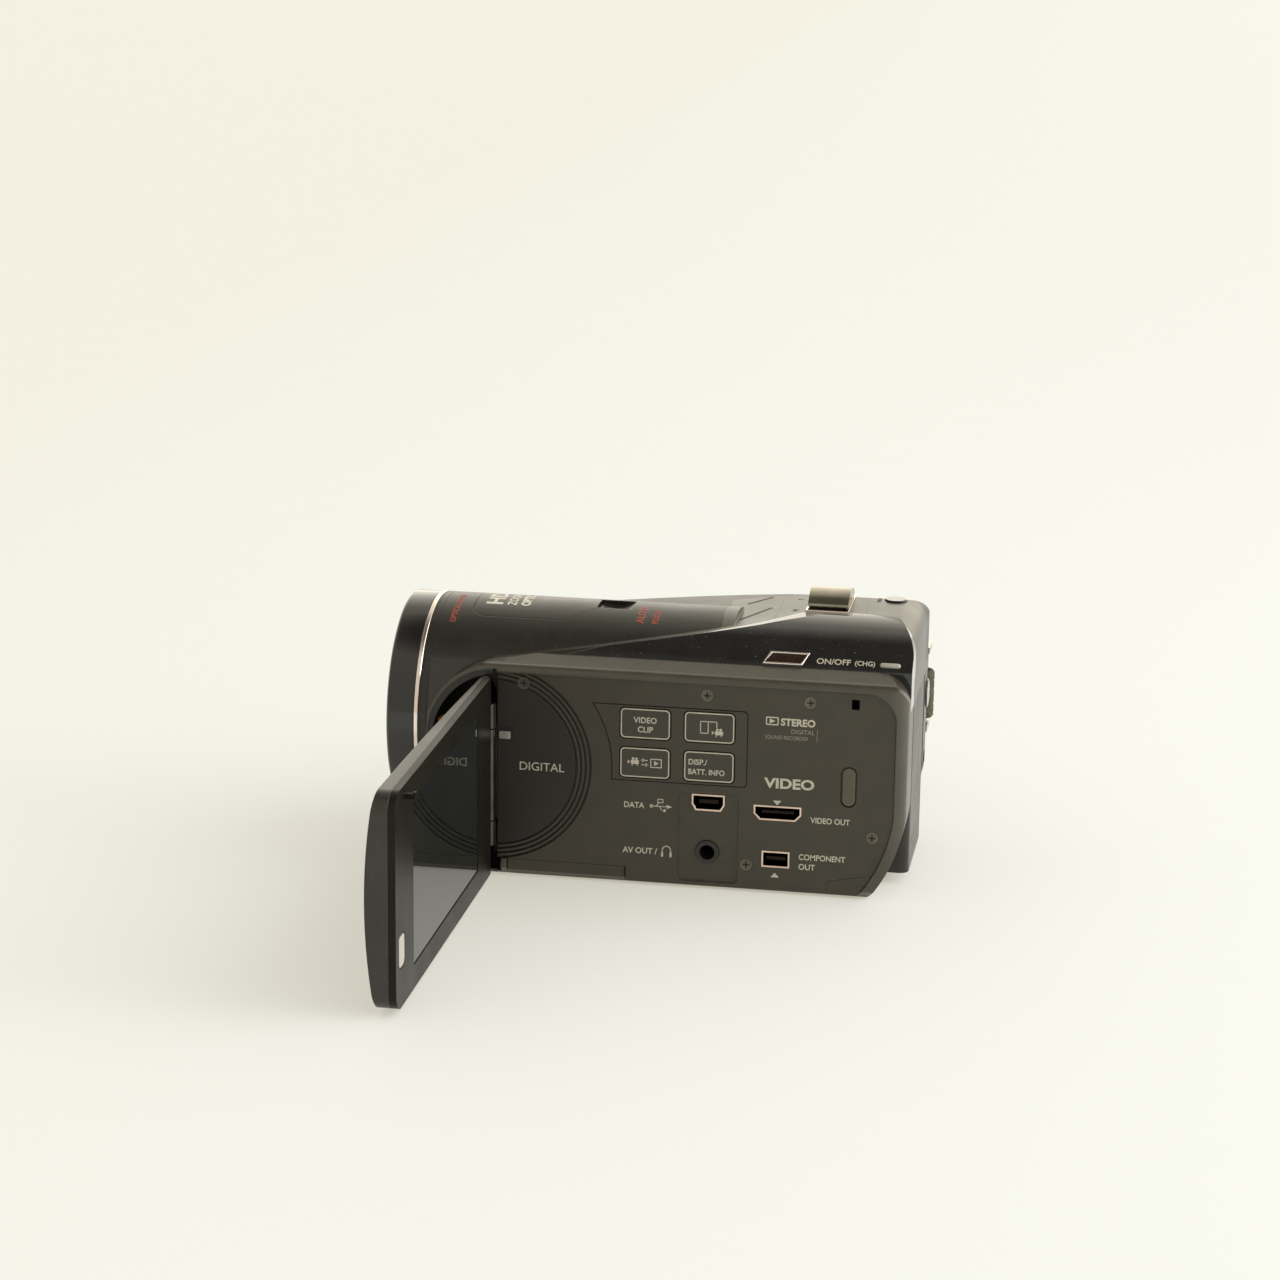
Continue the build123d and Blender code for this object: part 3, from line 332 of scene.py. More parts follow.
FINISH = {
    # the lighter finish that carries the painted sheen
    FRAME_WITH_SHEEN: "left_casing deck_front_cover control_deck deck_rear_cap rear_frame",
    MATTE: "barrel_housing base_plate grip_casing shoe_cover battery battery_latch",
    LID: "hinge_cover lcd_back_cover",
    # the bezel's darker finish carries painted shade
    BEZEL_SHADED: "lcd_bezel",
    GLOSS: "gloss_panel photo_button",
    RING: "front_ring start_stop_button name_ring",
    BAY: "bay_plate key_plate card_door",
    KEY: "key_clip key_play key_mode key_display power_button microphone_grilles",
    INNER: "hinge_well battery_bay card_slot av_jack dc_jack lcd_module lens_cover_upper lens_cover_lower",
    TUBE: "lens_tube zoom_group image_sensor",
    CHROME: "trim_ring zoom_frame lcd_record_button",
    LEVER: "zoom_lever",
    HINGE: "hinge_frame hinge_bracket hinge_pin",
    STEEL: "shoe_rails strap_lugs chassis",
    PORT: "usb_port video_port component_port",
    SCREW: "casing_screws",
    BRASS: "tripod_socket",
    SCREEN: "lcd_glass",
    BOARD: "main_board",
    CARD: "memory_card",
    WEB: "strap_webbing",
    PAD: "strap_pad",
    lens_glass(): "front_glass",
}
for finish, names in FINISH.items():
    for name in names.split():
        mesh = NODES[name].data
        mesh.materials.clear()
        mesh.materials.append(finish)


# Meshes made here

def face_outwards(mesh):
    clean = bmesh.new()
    clean.from_mesh(mesh)
    bmesh.ops.recalc_face_normals(clean, faces=clean.faces)
    clean.to_mesh(mesh)
    clean.free()


def add_mesh(name, verts, faces, finish, body, slot, smooth=False):
    mesh = bpy.data.meshes.new(name)
    mesh.from_pydata([tuple(v) for v in verts], [], faces)
    mesh.validate()
    mesh.materials.append(finish)
    if smooth:
        mesh.shade_smooth()
    obj = bpy.data.objects.new(name, mesh)
    SCENE.collection.objects.link(obj)
    face_outwards(mesh)
    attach(obj, body)
    return obj


def quads(rings, n, closed=False):
    """Faces between neighbouring rings of n vertices. If closed, the last ring meets the first."""
    faces = []
    for k in range(rings if closed else rings - 1):
        near, far = k * n, (k + 1) % rings * n
        faces += [[near + i, near + (i + 1) % n, far + (i + 1) % n, far + i] for i in range(n)]
    return faces


def ends(rings, n):
    """The two faces that close a stack of rings."""
    return [list(range(n))[::-1], list(range((rings - 1) * n, rings * n))]


def prism(outline, frame_matrix, low, high):
    """Vertices and faces of an outline in (u, v) pushed along w, placed by a matrix in millimetres."""
    n = len(outline)
    verts = [frame_matrix @ Vector((u, v, w)) for w in (low, high) for u, v in outline]
    return verts, ends(2, n) + quads(2, n)


def merged(shapes):
    verts, faces = [], []
    for v, f in shapes:
        faces += [[i + len(verts) for i in face] for face in f]
        verts += v
    return verts, faces


def plane_matrix(u, v, origin):
    """Maps (u, v, w) in millimetres onto a plane through origin, given in stations."""
    u, v = Vector(u).normalized(), Vector(v).normalized()
    w = u.cross(v)
    place = (Vector(origin) - SHIFT) * 0.001
    m = Matrix.Identity(4)
    for i, axis in enumerate((u, v, w)):
        for j in range(3):
            m[j][i] = axis[j] * 0.001
    for j in range(3):
        m[j][3] = place[j]
    return m


SIDE = plane_matrix((1, 0, 0), (0, 0, 1), (0, 0, 0))
SLOPE = math.radians(41.6)
SHOULDER = plane_matrix((1, 0, 0), (0, math.cos(SLOPE), math.sin(SLOPE)), (93.9, 7.6, 55.0))
BACK = plane_matrix((0, 1, 0), (0, 0, 1), (REAR_X, 0, 0))
UNDER = plane_matrix((1, 0, 0), (0, -1, 0), (0, 0, 0))
FRONT = plane_matrix((0, -1, 0), (0, 0, 1), (4.2, LENS_Y, LENS_Z))
TOP_READ = plane_matrix((0, 1, 0), (-1, 0, 0), (0, 0, 70))
TOP_SIDE = plane_matrix((1, 0, 0), (0, 1, 0), (0, 0, 70))


def round_rect(x0, x1, z0, z1, r, steps=6):
    corners = ((x1 - r, z1 - r, 0), (x0 + r, z1 - r, 90), (x0 + r, z0 + r, 180), (x1 - r, z0 + r, 270))
    points = []
    for cx, cz, start in corners:
        for i in range(steps + 1):
            a = math.radians(start + 90 * i / steps)
            points.append((cx + r * math.cos(a), cz + r * math.sin(a)))
    return points


class Ink:
    """Thin lettering and line work in one plane, made into one closed mesh."""

    def __init__(self, name, plane, finish, slot="key_satin", body="camera",
                 thick=0.03, sink=0.02, level=0.0):
        self.name, self.plane, self.finish, self.slot, self.body = name, plane, finish, slot, body
        self.thick, self.sink, self.level = thick, sink, level
        self.objects = []

    def poly(self, *outlines):
        """A filled shape. A second outline inside the first is a hole."""
        curve = bpy.data.curves.new(self.name + "_shape", "CURVE")
        curve.dimensions = "2D"
        curve.fill_mode = "BOTH"
        curve.extrude = self.thick / 2 + self.sink / 2
        for points in outlines:
            spline = curve.splines.new("POLY")
            spline.points.add(len(points) - 1)
            for p, (u, v) in zip(spline.points, points):
                p.co = (u, v, 0, 1)
            spline.use_cyclic_u = True
        obj = bpy.data.objects.new(self.name + "_shape", curve)
        SCENE.collection.objects.link(obj)
        self.objects.append(obj)

    def line(self, points, width):
        for (x0, z0), (x1, z1) in zip(points, points[1:]):
            length = math.hypot(x1 - x0, z1 - z0) or 1e-6
            nx, nz = -(z1 - z0) / length * width / 2, (x1 - x0) / length * width / 2
            left, right = [(x0 + nx, z0 + nz), (x1 + nx, z1 + nz)], [(x1 - nx, z1 - nz), (x0 - nx, z0 - nz)]
            self.poly(left + right)

    def ring(self, x0, x1, z0, z1, r, width):
        inside = round_rect(x0 + width, x1 - width, z0 + width, z1 - width, max(r - width, 0.01))
        self.poly(round_rect(x0, x1, z0, z1, r), inside)

    def disc(self, x, z, r, steps=16):
        turns = [math.tau * i / steps for i in range(steps)]
        self.poly([(x + r * math.cos(t), z + r * math.sin(t)) for t in turns])

    def text(self, words, x, z, size, align="LEFT", wide=1.0, bold=0.0, turn=0.0):
        data = bpy.data.curves.new(self.name + "_text", "FONT")
        data.body = words
        data.size = size
        data.align_x = align
        data.offset = bold + 0.012
        data.resolution_u = 4
        data.extrude = self.thick / 2 + self.sink / 2
        obj = bpy.data.objects.new(self.name + "_text", data)
        SCENE.collection.objects.link(obj)
        turned_at = Matrix.Translation((x, z, 0)) @ Matrix.Rotation(turn, 4, "Z")
        obj.matrix_world = turned_at @ Matrix.Diagonal((wide, 1, 1, 1))
        self.objects.append(obj)

    def gather(self, graph, fine):
        """All shapes and words in one flat mesh, with edges no longer than fine if they will be draped."""
        whole = bmesh.new()
        for o in self.objects:
            part = bpy.data.meshes.new_from_object(o.evaluated_get(graph))
            part.transform(o.matrix_world)
            whole.from_mesh(part)
            bpy.data.meshes.remove(part)
        bmesh.ops.remove_doubles(whole, verts=whole.verts, dist=1e-5)
        if fine:
            for _ in range(5):
                long_edges = [e for e in whole.edges if e.calc_length() > fine]
                if not long_edges:
                    break
                bmesh.ops.subdivide_edges(whole, edges=long_edges, cuts=1)
            bmesh.ops.triangulate(whole, faces=whole.faces)
        return whole

    def lay_on(self, verts, names, direction, graph):
        """Drapes the print on the nodes under it, each point at its own height over their surface."""
        trees = [BVHTree.FromObject(NODES[n], graph) for n in names]
        towards = (-Vector(direction)).normalized()
        for v in verts:
            start = self.plane @ Vector((v.co.x, v.co.y, 0)) - towards * 0.03
            hits = [t.ray_cast(start, towards) for t in trees]
            hits = [h for h in hits if h[0] is not None]
            if not hits:
                hits = [t.find_nearest(start + towards * 0.03) for t in trees]
            spot, normal = min(hits, key=lambda h: h[3])[:2]
            v.co = spot + (normal if normal.dot(towards) < 0 else -normal) * v.co.z * 0.001

    def finish_up(self, drape=(), direction=None, fine=0.0):
        """Makes the piece, flat in its plane or draped along a direction on the nodes named."""
        bpy.context.view_layer.update()
        graph = bpy.context.evaluated_depsgraph_get()
        whole = self.gather(graph, fine)
        mid = (self.thick - self.sink) / 2 + self.level
        for v in whole.verts:
            v.co.z += mid
        if drape:
            self.lay_on(whole.verts, drape, direction, graph)
        else:
            for v in whole.verts:
                v.co = self.plane @ v.co
        mesh = bpy.data.meshes.new(self.name)
        whole.to_mesh(mesh)
        whole.free()
        mesh.materials.append(self.finish)
        for o in self.objects:
            bpy.data.objects.remove(o)
        obj = bpy.data.objects.new(self.name, mesh)
        SCENE.collection.objects.link(obj)
        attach(obj, self.body)


# Lettering in the connector bay

def camera_icon(ink, x, z, s):
    """A small film camera: body, two reels, lens and feet."""
    ink.poly(round_rect(x, x + 2.0 * s, z, z + 1.0 * s, 0.15 * s, 2))
    ink.disc(x + 0.55 * s, z + 1.35 * s, 0.33 * s)
    ink.disc(x + 1.4 * s, z + 1.35 * s, 0.33 * s)
    ink.poly([(x - 0.15 * s, z + 0.5 * s), (x - 0.8 * s, z + 1.0 * s), (x - 0.8 * s, z)])
    ink.line([(x + 0.5 * s, z), (x + 0.2 * s, z - 0.5 * s)], 0.18 * s)
    ink.line([(x + 1.4 * s, z), (x + 1.7 * s, z - 0.5 * s)], 0.18 * s)


def data_sign(ink):
    """A stem with an arrow and two branches."""
    ink.line([(63.9, 19.55), (67.6, 19.55)], 0.2)
    ink.disc(63.9, 19.55, 0.42)
    ink.poly([(67.5, 20.05), (68.8, 19.55), (67.5, 19.05)])
    ink.ring(65.3, 66.7, 20.4, 21.4, 0.2, 0.18)
    ink.line([(65.0, 19.6), (65.6, 20.4)], 0.18)
    ink.line([(65.8, 19.5), (66.4, 18.6), (66.9, 18.6)], 0.18)
    ink.disc(67.0, 18.6, 0.35)


def headphone_sign(ink):
    """A headband with two ear cups."""
    turns = [math.radians(a) for a in range(-20, 201, 20)]
    ink.line([(67.6 + 1.0 * math.cos(t), 8.75 + 1.15 * math.sin(t)) for t in turns], 0.22)
    ink.poly(round_rect(66.35, 66.85, 7.2, 8.6, 0.2, 3))
    ink.poly(round_rect(68.35, 68.85, 7.2, 8.6, 0.2, 3))


def bay_lettering():
    ink = Ink("bay_lettering", SIDE, INK)
    ink.text("DATA", 57.3, 18.9, 1.95, wide=0.93, bold=0.02)
    data_sign(ink)
    ink.text("AV OUT /", 57.2, 7.75, 2.0, wide=0.96, bold=0.02)
    headphone_sign(ink)
    ink.text("VIDEO", 90.5, 25.9, 3.3, wide=1.20, bold=0.10)
    ink.text("VIDEO OUT", 101.4, 17.9, 1.95, wide=0.88, bold=0.02)
    ink.text("COMPONENT", 98.8, 8.75, 1.95, wide=0.89, bold=0.02)
    ink.text("OUT", 98.8, 6.35, 1.95, wide=0.94, bold=0.02)
    ink.poly([(92.5, 22.8), (94.5, 22.8), (93.5, 21.7)])
    ink.poly([(92.3, 4.0), (94.3, 4.0), (93.3, 5.1)])
    ink.ring(90.4, 93.4, 41.0, 43.0, 0.3, 0.28)
    ink.poly([(91.3, 41.4), (91.3, 42.6), (92.6, 42.0)])
    ink.text("STEREO", 93.9, 41.1, 2.35, wide=0.98, bold=0.07)
    ink.finish_up()


def bay_marks():
    """The seam of the base at the rear, and a cross of painted shade in each screw head's slot."""
    seam = Ink("base_seam", SIDE, DARK_MARKS_AND_SHADE, slot="bay_matte")
    seam.line([(105.5, 1.3), (105.9, 4.0), (114.5, 5.6)], 0.16)
    seam.finish_up()
    # Painted shade in the cross slots of the screw heads.
    slot_shade = Ink("screw_slot_shade", SIDE, DARK_MARKS_AND_SHADE, slot="screw_steel", level=-0.045)
    for x, z in BAY_SCREWS:
        slot_shade.line([(x - 0.85, z), (x + 0.85, z)], 0.34)
        slot_shade.line([(x, z - 0.85), (x, z + 0.85)], 0.34)
    slot_shade.finish_up()


def bay_fine_print():
    dim = Ink("bay_lettering_dim", SIDE, INK_DIM)
    dim.text("DIGITAL", 96.3, 39.2, 1.5, wide=0.98)
    dim.text("SOUND RECORDER", 90.3, 37.7, 1.3, wide=0.87)
    dim.line([(102.4, 37.5), (102.4, 40.5)], 0.12)
    dim.finish_up()
    disc = Ink("disc_lettering", SIDE, INK)
    disc.text("DIGITAL", 32.2, 26.4, 2.9, wide=1.0, bold=-0.01)
    disc.finish_up()


def key_lettering():
    """Each key has a fine outline with words or signs inside, and moves with the key."""
    def outlined(name, body, x, z):
        ink = Ink(name, SIDE, INK, body=body, level=0.1)
        ink.ring(x + 0.12, x + 11.68, z + 0.12, z + 7.18, 1.0, 0.27)
        return ink
    clip = outlined("clip_key_print", "clip_key", 56.3, 35.8)
    clip.text("VIDEO", 62.2, 39.65, 1.95, "CENTER", 0.96, 0.02)
    clip.text("CLIP", 62.2, 37.4, 1.95, "CENTER", 0.96, 0.02)
    clip.finish_up()
    play = outlined("play_key_print", "play_key", 71.4, 35.8)
    play.line([(75.2, 38.1), (75.2, 40.9), (77.0, 40.9), (77.0, 38.1), (75.1, 38.1)], 0.22)
    play.line([(77.0, 40.9), (79.0, 40.9), (79.0, 39.6)], 0.22)
    camera_icon(play, 78.6, 37.8, 0.95)
    play.finish_up()
    mode = outlined("mode_key_print", "mode_key", 56.3, 26.3)
    camera_icon(mode, 58.9, 29.6, 0.95)
    mode.line([(61.4, 30.6), (62.9, 30.6)], 0.2)
    mode.poly([(61.9, 31.1), (61.2, 30.6), (61.9, 30.1)])
    mode.line([(61.4, 29.5), (62.9, 29.5)], 0.2)
    mode.poly([(62.4, 30.0), (63.1, 29.5), (62.4, 29.0)])
    mode.ring(63.5, 66.2, 28.9, 31.1, 0.1, 0.22)
    mode.poly([(64.4, 29.4), (64.4, 30.6), (65.5, 30.0)])
    mode.finish_up()
    display = outlined("display_key_print", "display_key", 71.4, 26.3)
    display.text("DISP./", 72.4, 30.35, 1.85, "LEFT", 0.98, 0.02)
    display.text("BATT. INFO", 72.4, 28.0, 1.85, "LEFT", 0.89, 0.02)
    display.finish_up()


def top_lettering():
    power = Ink("power_lettering", SHOULDER, INK, slot="casing_gloss")
    power.text("ON/OFF", 7.0, -0.85, 2.1, wide=1.05, bold=0.02)
    power.text("(CHG)", 15.9, -0.75, 1.75, wide=0.98, bold=0.02)
    power.finish_up(("gloss_panel",), (0, -math.sin(SLOPE), math.cos(SLOPE)), 0.8)
    shoe = Ink("shoe_lettering", TOP_READ, INK_WHITE, slot="casing_matte", body="shoe_lid")
    shoe.text("HD", 21.1, -23.5, 5.4, wide=1.25, bold=0.16)
    shoe.text("ZOOM", 21.3, -26.9, 3.0, wide=1.05, bold=0.05)
    shoe.text("OPTIC", 21.3, -30.2, 3.0, wide=1.05, bold=0.12)
    shoe.finish_up(("shoe_cover",), (0, 0, 1), 0.8)
    red = Ink("barrel_lettering", TOP_READ, INK_RED, slot="casing_matte")
    red.text("OPTICAL ZOOM", 9.8, -13.8, 1.9, wide=1.0, bold=0.03)
    red.finish_up(("barrel_housing",), (0, -0.3, 1), 0.8)
    red = Ink("deck_lettering", TOP_READ, INK_RED, slot="casing_matte")
    red.text("AUTO", 16.5, -58.6, 2.6, wide=1.1, bold=0.05)
    red.text("FOCUS", 16.5, -62.0, 2.0, wide=1.0, bold=0.03)
    red.finish_up(("barrel_housing",), (0, 0, 1), 0.8)
    rocker = Ink("zoom_lettering", TOP_SIDE, DARK_MARKS_AND_SHADE, slot="casing_matte")
    rocker.text("W", 93.9, 27.2, 1.8, bold=0.04, turn=math.radians(90))
    rocker.text("T", 93.9, 38.2, 1.8, bold=0.04, turn=math.radians(90))
    rocker.text("PHOTO", 112.6, 36.9, 1.3, bold=0.02, turn=math.radians(90))
    rocker.finish_up(("control_deck", "deck_rear_cap"), (0, 0, 1), 0.8)
    # Painted shade: dark strips draped where two recesses lie in the front deck.
    recess_shade = Ink("deck_recess_shade", TOP_SIDE, DARK_MARKS_AND_SHADE, slot="casing_matte", thick=0.05)
    for start, end in (((80.7, 23.0), (87.0, 32.5)), ((80.5, 38.5), (85.9, 43.4))):
        recess_shade.line([start, end], 0.8)
    recess_shade.finish_up(("deck_front_cover",), (0, 0, 1), 0.8)


def rear_and_base_lettering():
    back = Ink("battery_lettering", BACK, INK_DIM, body="battery_pack", slot="casing_matte")
    back.text("BATTERY PACK", 17.0, 8.2, 2.2, wide=1.0)
    back.text("LITHIUM ION 7.4 V", 17.0, 5.2, 1.5, wide=1.0)
    back.poly([(28.0, 37.0), (30.2, 37.0), (29.1, 34.6)])
    back.finish_up()
    under = Ink("base_lettering", UNDER, INK_DIM, slot="casing_matte")
    under.text("VIDEO CAMERA RECORDER", 36.0, -24.0, 2.2, "LEFT")
    under.text("DC 8.4 V", 36.0, -28.0, 2.0, "LEFT")
    under.text("CARD", 66.0, -8.0, 1.8, "LEFT")
    under.finish_up()
    jack = Ink("dc_lettering", BACK, INK_DIM, slot="casing_matte")
    jack.text("DC IN", 45.4, 24.6, 1.5)
    jack.finish_up()


def lens_lettering():
    name = Ink("lens_lettering", FRONT, INK, slot="casing_gloss", sink=0.0)
    for i, letter in enumerate("VIDEO LENS   10x ZOOM   43"):
        a = math.radians(166 - i * 6.2)
        u, v = 17.6 * math.cos(a), 17.6 * math.sin(a)
        name.text(letter, u, v, 1.7, "CENTER", bold=0.02, turn=a - math.pi / 2)
    name.finish_up(("name_ring",), (-1, 0, 0))


# Small fittings that ride on the fixed body

def power_outline(grow):
    """The power button's leaning four-sided outline, on the shoulder."""
    wide, high, lean = 4.6 + grow, 1.75 + grow, 0.8
    return [(-wide - lean, -high), (wide - lean, -high), (wide + lean, high), (-wide + lean, high)]


def power_fittings():
    """The bright frame round the power button, and the ribs on it."""
    outer, inner = power_outline(0.0), power_outline(-0.48)
    levels = [(outer, -0.35), (outer, 0.28), (power_outline(-0.12), 0.42), (power_outline(-0.36), 0.42)]
    levels += [(inner, 0.28), (inner, -0.35)]
    verts = [SHOULDER @ Vector((u, v, w)) for ring, w in levels for u, v in ring]
    faces = quads(len(levels), len(outer), closed=True)
    add_mesh("power_frame", verts, faces, CHROME, "camera", "chrome_trim")
    ribs = []
    half, lean = 0.16, 0.5
    for i in range(13):
        u = -3.7 + i * 0.62
        low, high = [(u - half, -1.0), (u + half, -1.0)], [(u + half + lean, 1.0), (u - half + lean, 1.0)]
        ribs.append(prism(low + high, SHOULDER, 0.2, 0.42))
    ribs.append(prism(power_outline(-0.62), SHOULDER, 0.2, 0.32))
    add_mesh("power_ribs", *merged(ribs), COPPER, "power", "key_satin")


def capsule(start, end, r, rings=5, sides=14):
    """A closed rod with round ends."""
    start, end = Vector(start), Vector(end)
    along = (end - start).normalized()
    side = along.orthogonal().normalized()
    other = along.cross(side)
    verts, faces, stations = [], [], []
    for i in range(1, rings + 1):
        a = math.pi / 2 * i / rings
        stations.append((start - along * r * math.cos(a), r * math.sin(a)))
    for i in range(rings, 0, -1):
        a = math.pi / 2 * i / rings
        stations.append((end + along * r * math.cos(a), r * math.sin(a)))
    verts.append(start - along * r)
    for centre, radius in stations:
        for j in range(sides):
            t = math.tau * j / sides
            verts.append(centre + (side * math.cos(t) + other * math.sin(t)) * radius)
    verts.append(end + along * r)
    last = len(verts) - 1
    for j in range(sides):
        k = (j + 1) % sides
        faces.append([0, 1 + k, 1 + j])
        for i in range(len(stations) - 1):
            a, b = 1 + i * sides, 1 + (i + 1) * sides
            faces.append([a + j, a + k, b + k, b + j])
        tail = 1 + (len(stations) - 1) * sides
        faces.append([tail + j, tail + k, last])
    return verts, faces


def bay_pad():
    """A low rubber pad with a crowned edge, set in the bay."""
    stadium = round_rect(108.52, 111.58, 22.52, 31.68, 1.53, 8)
    inner = round_rect(108.72, 111.38, 22.72, 31.48, 1.33, 8)
    levels = ((stadium, -0.78), (stadium, -0.05), (inner, 0.08))
    verts = [SIDE @ Vector((u, v, w)) for ring, w in levels for u, v in ring]
    n = len(stadium)
    add_mesh("bay_pad", verts, ends(3, n) + quads(3, n), RUBBER, "camera", "bay_matte")


def hinge_flex():
    """A flat flex that goes down into the hinge pocket."""
    points = [at(12.9, 2.2, 37.6), at(13.6, 3.4, 35.4), at(15.2, 5.0, 32.0)]
    across = Vector((0.4, 0.9, 0.2)).normalized() * 0.0011
    thin = Vector((0.9, -0.4, 0)).normalized() * 0.00012
    section = (-across - thin, across - thin, across + thin, -across + thin)
    box = [[0, 1, 2, 3], [7, 6, 5, 4], [0, 4, 5, 1], [1, 5, 6, 2], [2, 6, 7, 3], [3, 7, 4, 0]]
    strips = [([end + corner for end in pair for corner in section], box) for pair in zip(points, points[1:])]
    add_mesh("hinge_flex", *merged(strips), FLEX, "camera", "port_metal")


def fittings():
    lamp = capsule(at(116.3, 7.3, 54.75), at(119.9, 7.3, 54.75), 0.00062)
    add_mesh("status_lamp", *lamp, LAMP, "camera", "chrome_trim", True)
    bay_pad()
    # Painted shade: a dark sheet for the slot round the hinge's metal block.
    slot = prism(round_rect(27.35, 30.9, 33.3, 36.8, 0.3, 3), SIDE, -0.02, 0.06)
    add_mesh("hinge_slot_shade", *slot, DARK_MARKS_AND_SHADE, "camera", "inner_plastic")
    block = prism(round_rect(27.5, 30.2, 33.8, 35.7, 0.3, 4), SIDE, 0.03, 0.45)
    add_mesh("hinge_block", *block, STEEL, "camera", "steel")
    hinge_flex()


def revolved(profile, sides):
    """Vertices and faces of a closed profile of (x, radius) turned about the lens axis."""
    verts = []
    for j in range(sides):
        t = math.tau * j / sides
        verts += [at(x, LENS_Y + r * math.cos(t), LENS_Z + r * math.sin(t)) for x, r in profile]
    return verts, quads(sides, len(profile), closed=True)


def barrel_groove_shade():
    """Fine turned grooves round the barrel behind the bright ring, drawn as near-black rings of painted
    shade.
    """
    shapes = []
    r, deep = 26.315, 0.1
    for x, width in ((8.35, 0.16), (9.75, 0.12)):
        low, high = x - width / 2, x + width / 2
        shapes.append(revolved([(low, r - deep), (high, r - deep), (high, r), (low, r)], 160))
    add_mesh("barrel_groove_shade", *merged(shapes), DARK_MARKS_AND_SHADE, "camera", "casing_matte")


def turned(name, profile, finish, slot, node):
    """A finely turned ring about the lens axis, in place of a plain one."""
    obj = add_mesh(name, *revolved(profile, 192), finish, "camera", slot, True)
    obj.data.set_sharp_from_angle(angle=math.radians(16))
    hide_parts(node)


def front_rings():
    """The rim with its filter thread, the bright ring behind it and the stepped cone round the glass."""
    thread = [(0.7 + 0.35 * i, 21.1 if i % 2 else 21.34) for i in range(10)][::-1]
    lip = [(0, 25.4), (0.12, 25.72), (0.4, 26.08), (0.72, 26.24), (1.1, 26.3)]
    back = [(6.7, 26.3), (6.7, 23.9), (4.2, 23.9), (4.2, 21.1)]
    mouth = [(0.45, 21.1), (0.12, 21.4), (0, 21.7)]
    turned("front_rim", lip + back + thread + mouth, RING, "casing_gloss", "front_ring")
    band = [(6.76, 23.9), (6.76, 26.25), (6.9, 26.4), (7.7, 26.4), (7.84, 26.25), (7.84, 23.9)]
    turned("bright_ring", band, CHROME, "chrome_trim", "trim_ring")
    steps = []
    for i in range(7):
        r = 12.1 + 0.62 * i
        x = 7.4 - (r - 11.6) / 3.0
        steps += [(x + 0.12, r), (x - 0.09, r + 0.14), (x - 0.09, r + 0.48)]
    cone = [(4.3, 23.8), (8.2, 23.8), (8.2, 11.6), (7.4, 11.6)] + steps + [(4.3, 20.9)]
    turned("lens_surround", cone, RING, "casing_gloss", "name_ring")


# Strap

STRAP_X, STRAP_Y, STRAP_R = 79.0, 33.9, 51.6
STRAP_LOW, STRAP_HIGH = 27.5, 39.5
FRONT_BAR, REAR_BAR, BAR_TURN = (36.5, 62.4), (121.6, 61.4), 1.95
PAD_LENGTH, PAD_WIDTH, PAD_Z = 74.0, 29.0, 33.5
PAD_HALF = 2.3
PAD_R = STRAP_R - 0.25 - PAD_HALF


def on_arc(x, r):
    """A point of the strap's arc of radius r, at x along the body."""
    return (x, STRAP_Y + math.sqrt(r * r - (x - STRAP_X) ** 2))


def round_bar(bar, start, end):
    """The webbing's turn round one of the lugs' bars, between two angles."""
    turns = [math.radians(a) for a in np.linspace(start, end, 20)]
    return [(bar[0] + BAR_TURN * math.cos(t), bar[1] + BAR_TURN * math.sin(t)) for t in turns]


def strap_path():
    """The middle line of the webbing from its front tail round both bars to its rear tail."""
    mid = STRAP_R + 0.8
    points = [on_arc(x, mid - 1.45) for x in np.linspace(46.4, 40.6, 6)]
    points += round_bar(FRONT_BAR, -35, -235)
    points += [on_arc(x, mid) for x in np.linspace(40.2, 117.8, 110)]
    points += round_bar(REAR_BAR, 55, -145)
    points += [on_arc(x, mid - 1.45) for x in np.linspace(117.0, 113.2, 5)]
    return [Vector((x, y, 0)) for x, y in points]


def evenly(points, step):
    lengths = [0.0]
    for a, b in zip(points, points[1:]):
        lengths.append(lengths[-1] + (b - a).length)
    wanted = np.linspace(0, lengths[-1], int(lengths[-1] / step) + 1)
    xs = np.interp(wanted, lengths, [p.x for p in points])
    ys = np.interp(wanted, lengths, [p.y for p in points])
    return [Vector((x, y, 0)) for x, y in zip(xs, ys)], wanted


def weave(s, z):
    """Height of the herringbone weave at a place along and across the webbing."""
    column = int((z - STRAP_LOW) / 1.5)
    lean = 1 if column % 2 else -1
    return 0.10 * math.sin(math.tau * (s + lean * (z - STRAP_LOW)) / 1.2)


def band_faces(m, n):
    """Faces of a flat band with m by n points on each of its two sides."""
    faces = []
    for k in range(2):
        base = k * m * n
        for i in range(m - 1):
            for j in range(n - 1):
                near, far = base + i * n + j, base + (i + 1) * n + j
                faces.append([near, far, far + 1, near + 1][::1 if k else -1])
    for i in range(m - 1):
        for j in (0, n - 1):
            near, far = i * n + j, (i + 1) * n + j
            faces.append([near, far, m * n + far, m * n + near])
    for i in (0, m - 1):
        for j in range(n - 1):
            near = i * n + j
            faces.append([near, near + 1, m * n + near + 1, m * n + near])
    return faces


def strap_webbing():
    """Woven tape: a closed band whose faces carry a herringbone weave."""
    path, along_tape = evenly(strap_path(), 0.30)
    across = np.linspace(STRAP_LOW, STRAP_HIGH, 49)
    half = 0.62
    normals = []
    for i in range(len(path)):
        a, b = path[max(i - 1, 0)], path[min(i + 1, len(path) - 1)]
        direction = (b - a).normalized()
        normals.append(Vector((direction.y, -direction.x, 0)))
    verts = []
    for side in (1, -1):
        for p, normal, s in zip(path, normals, along_tape):
            for z in across:
                edge = min(z - STRAP_LOW, STRAP_HIGH - z)
                thick = half * min(1.0, 0.45 + edge * 1.1)
                q = p + normal * side * (thick + weave(s, z) * (1 if edge > 0.3 else 0.2))
                verts.append(at(q.x, q.y, z))
    faces = band_faces(len(path), len(across))
    obj = add_mesh("strap_tape", verts, faces, WEB, "camera", "webbing", True)
    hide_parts("strap_webbing")


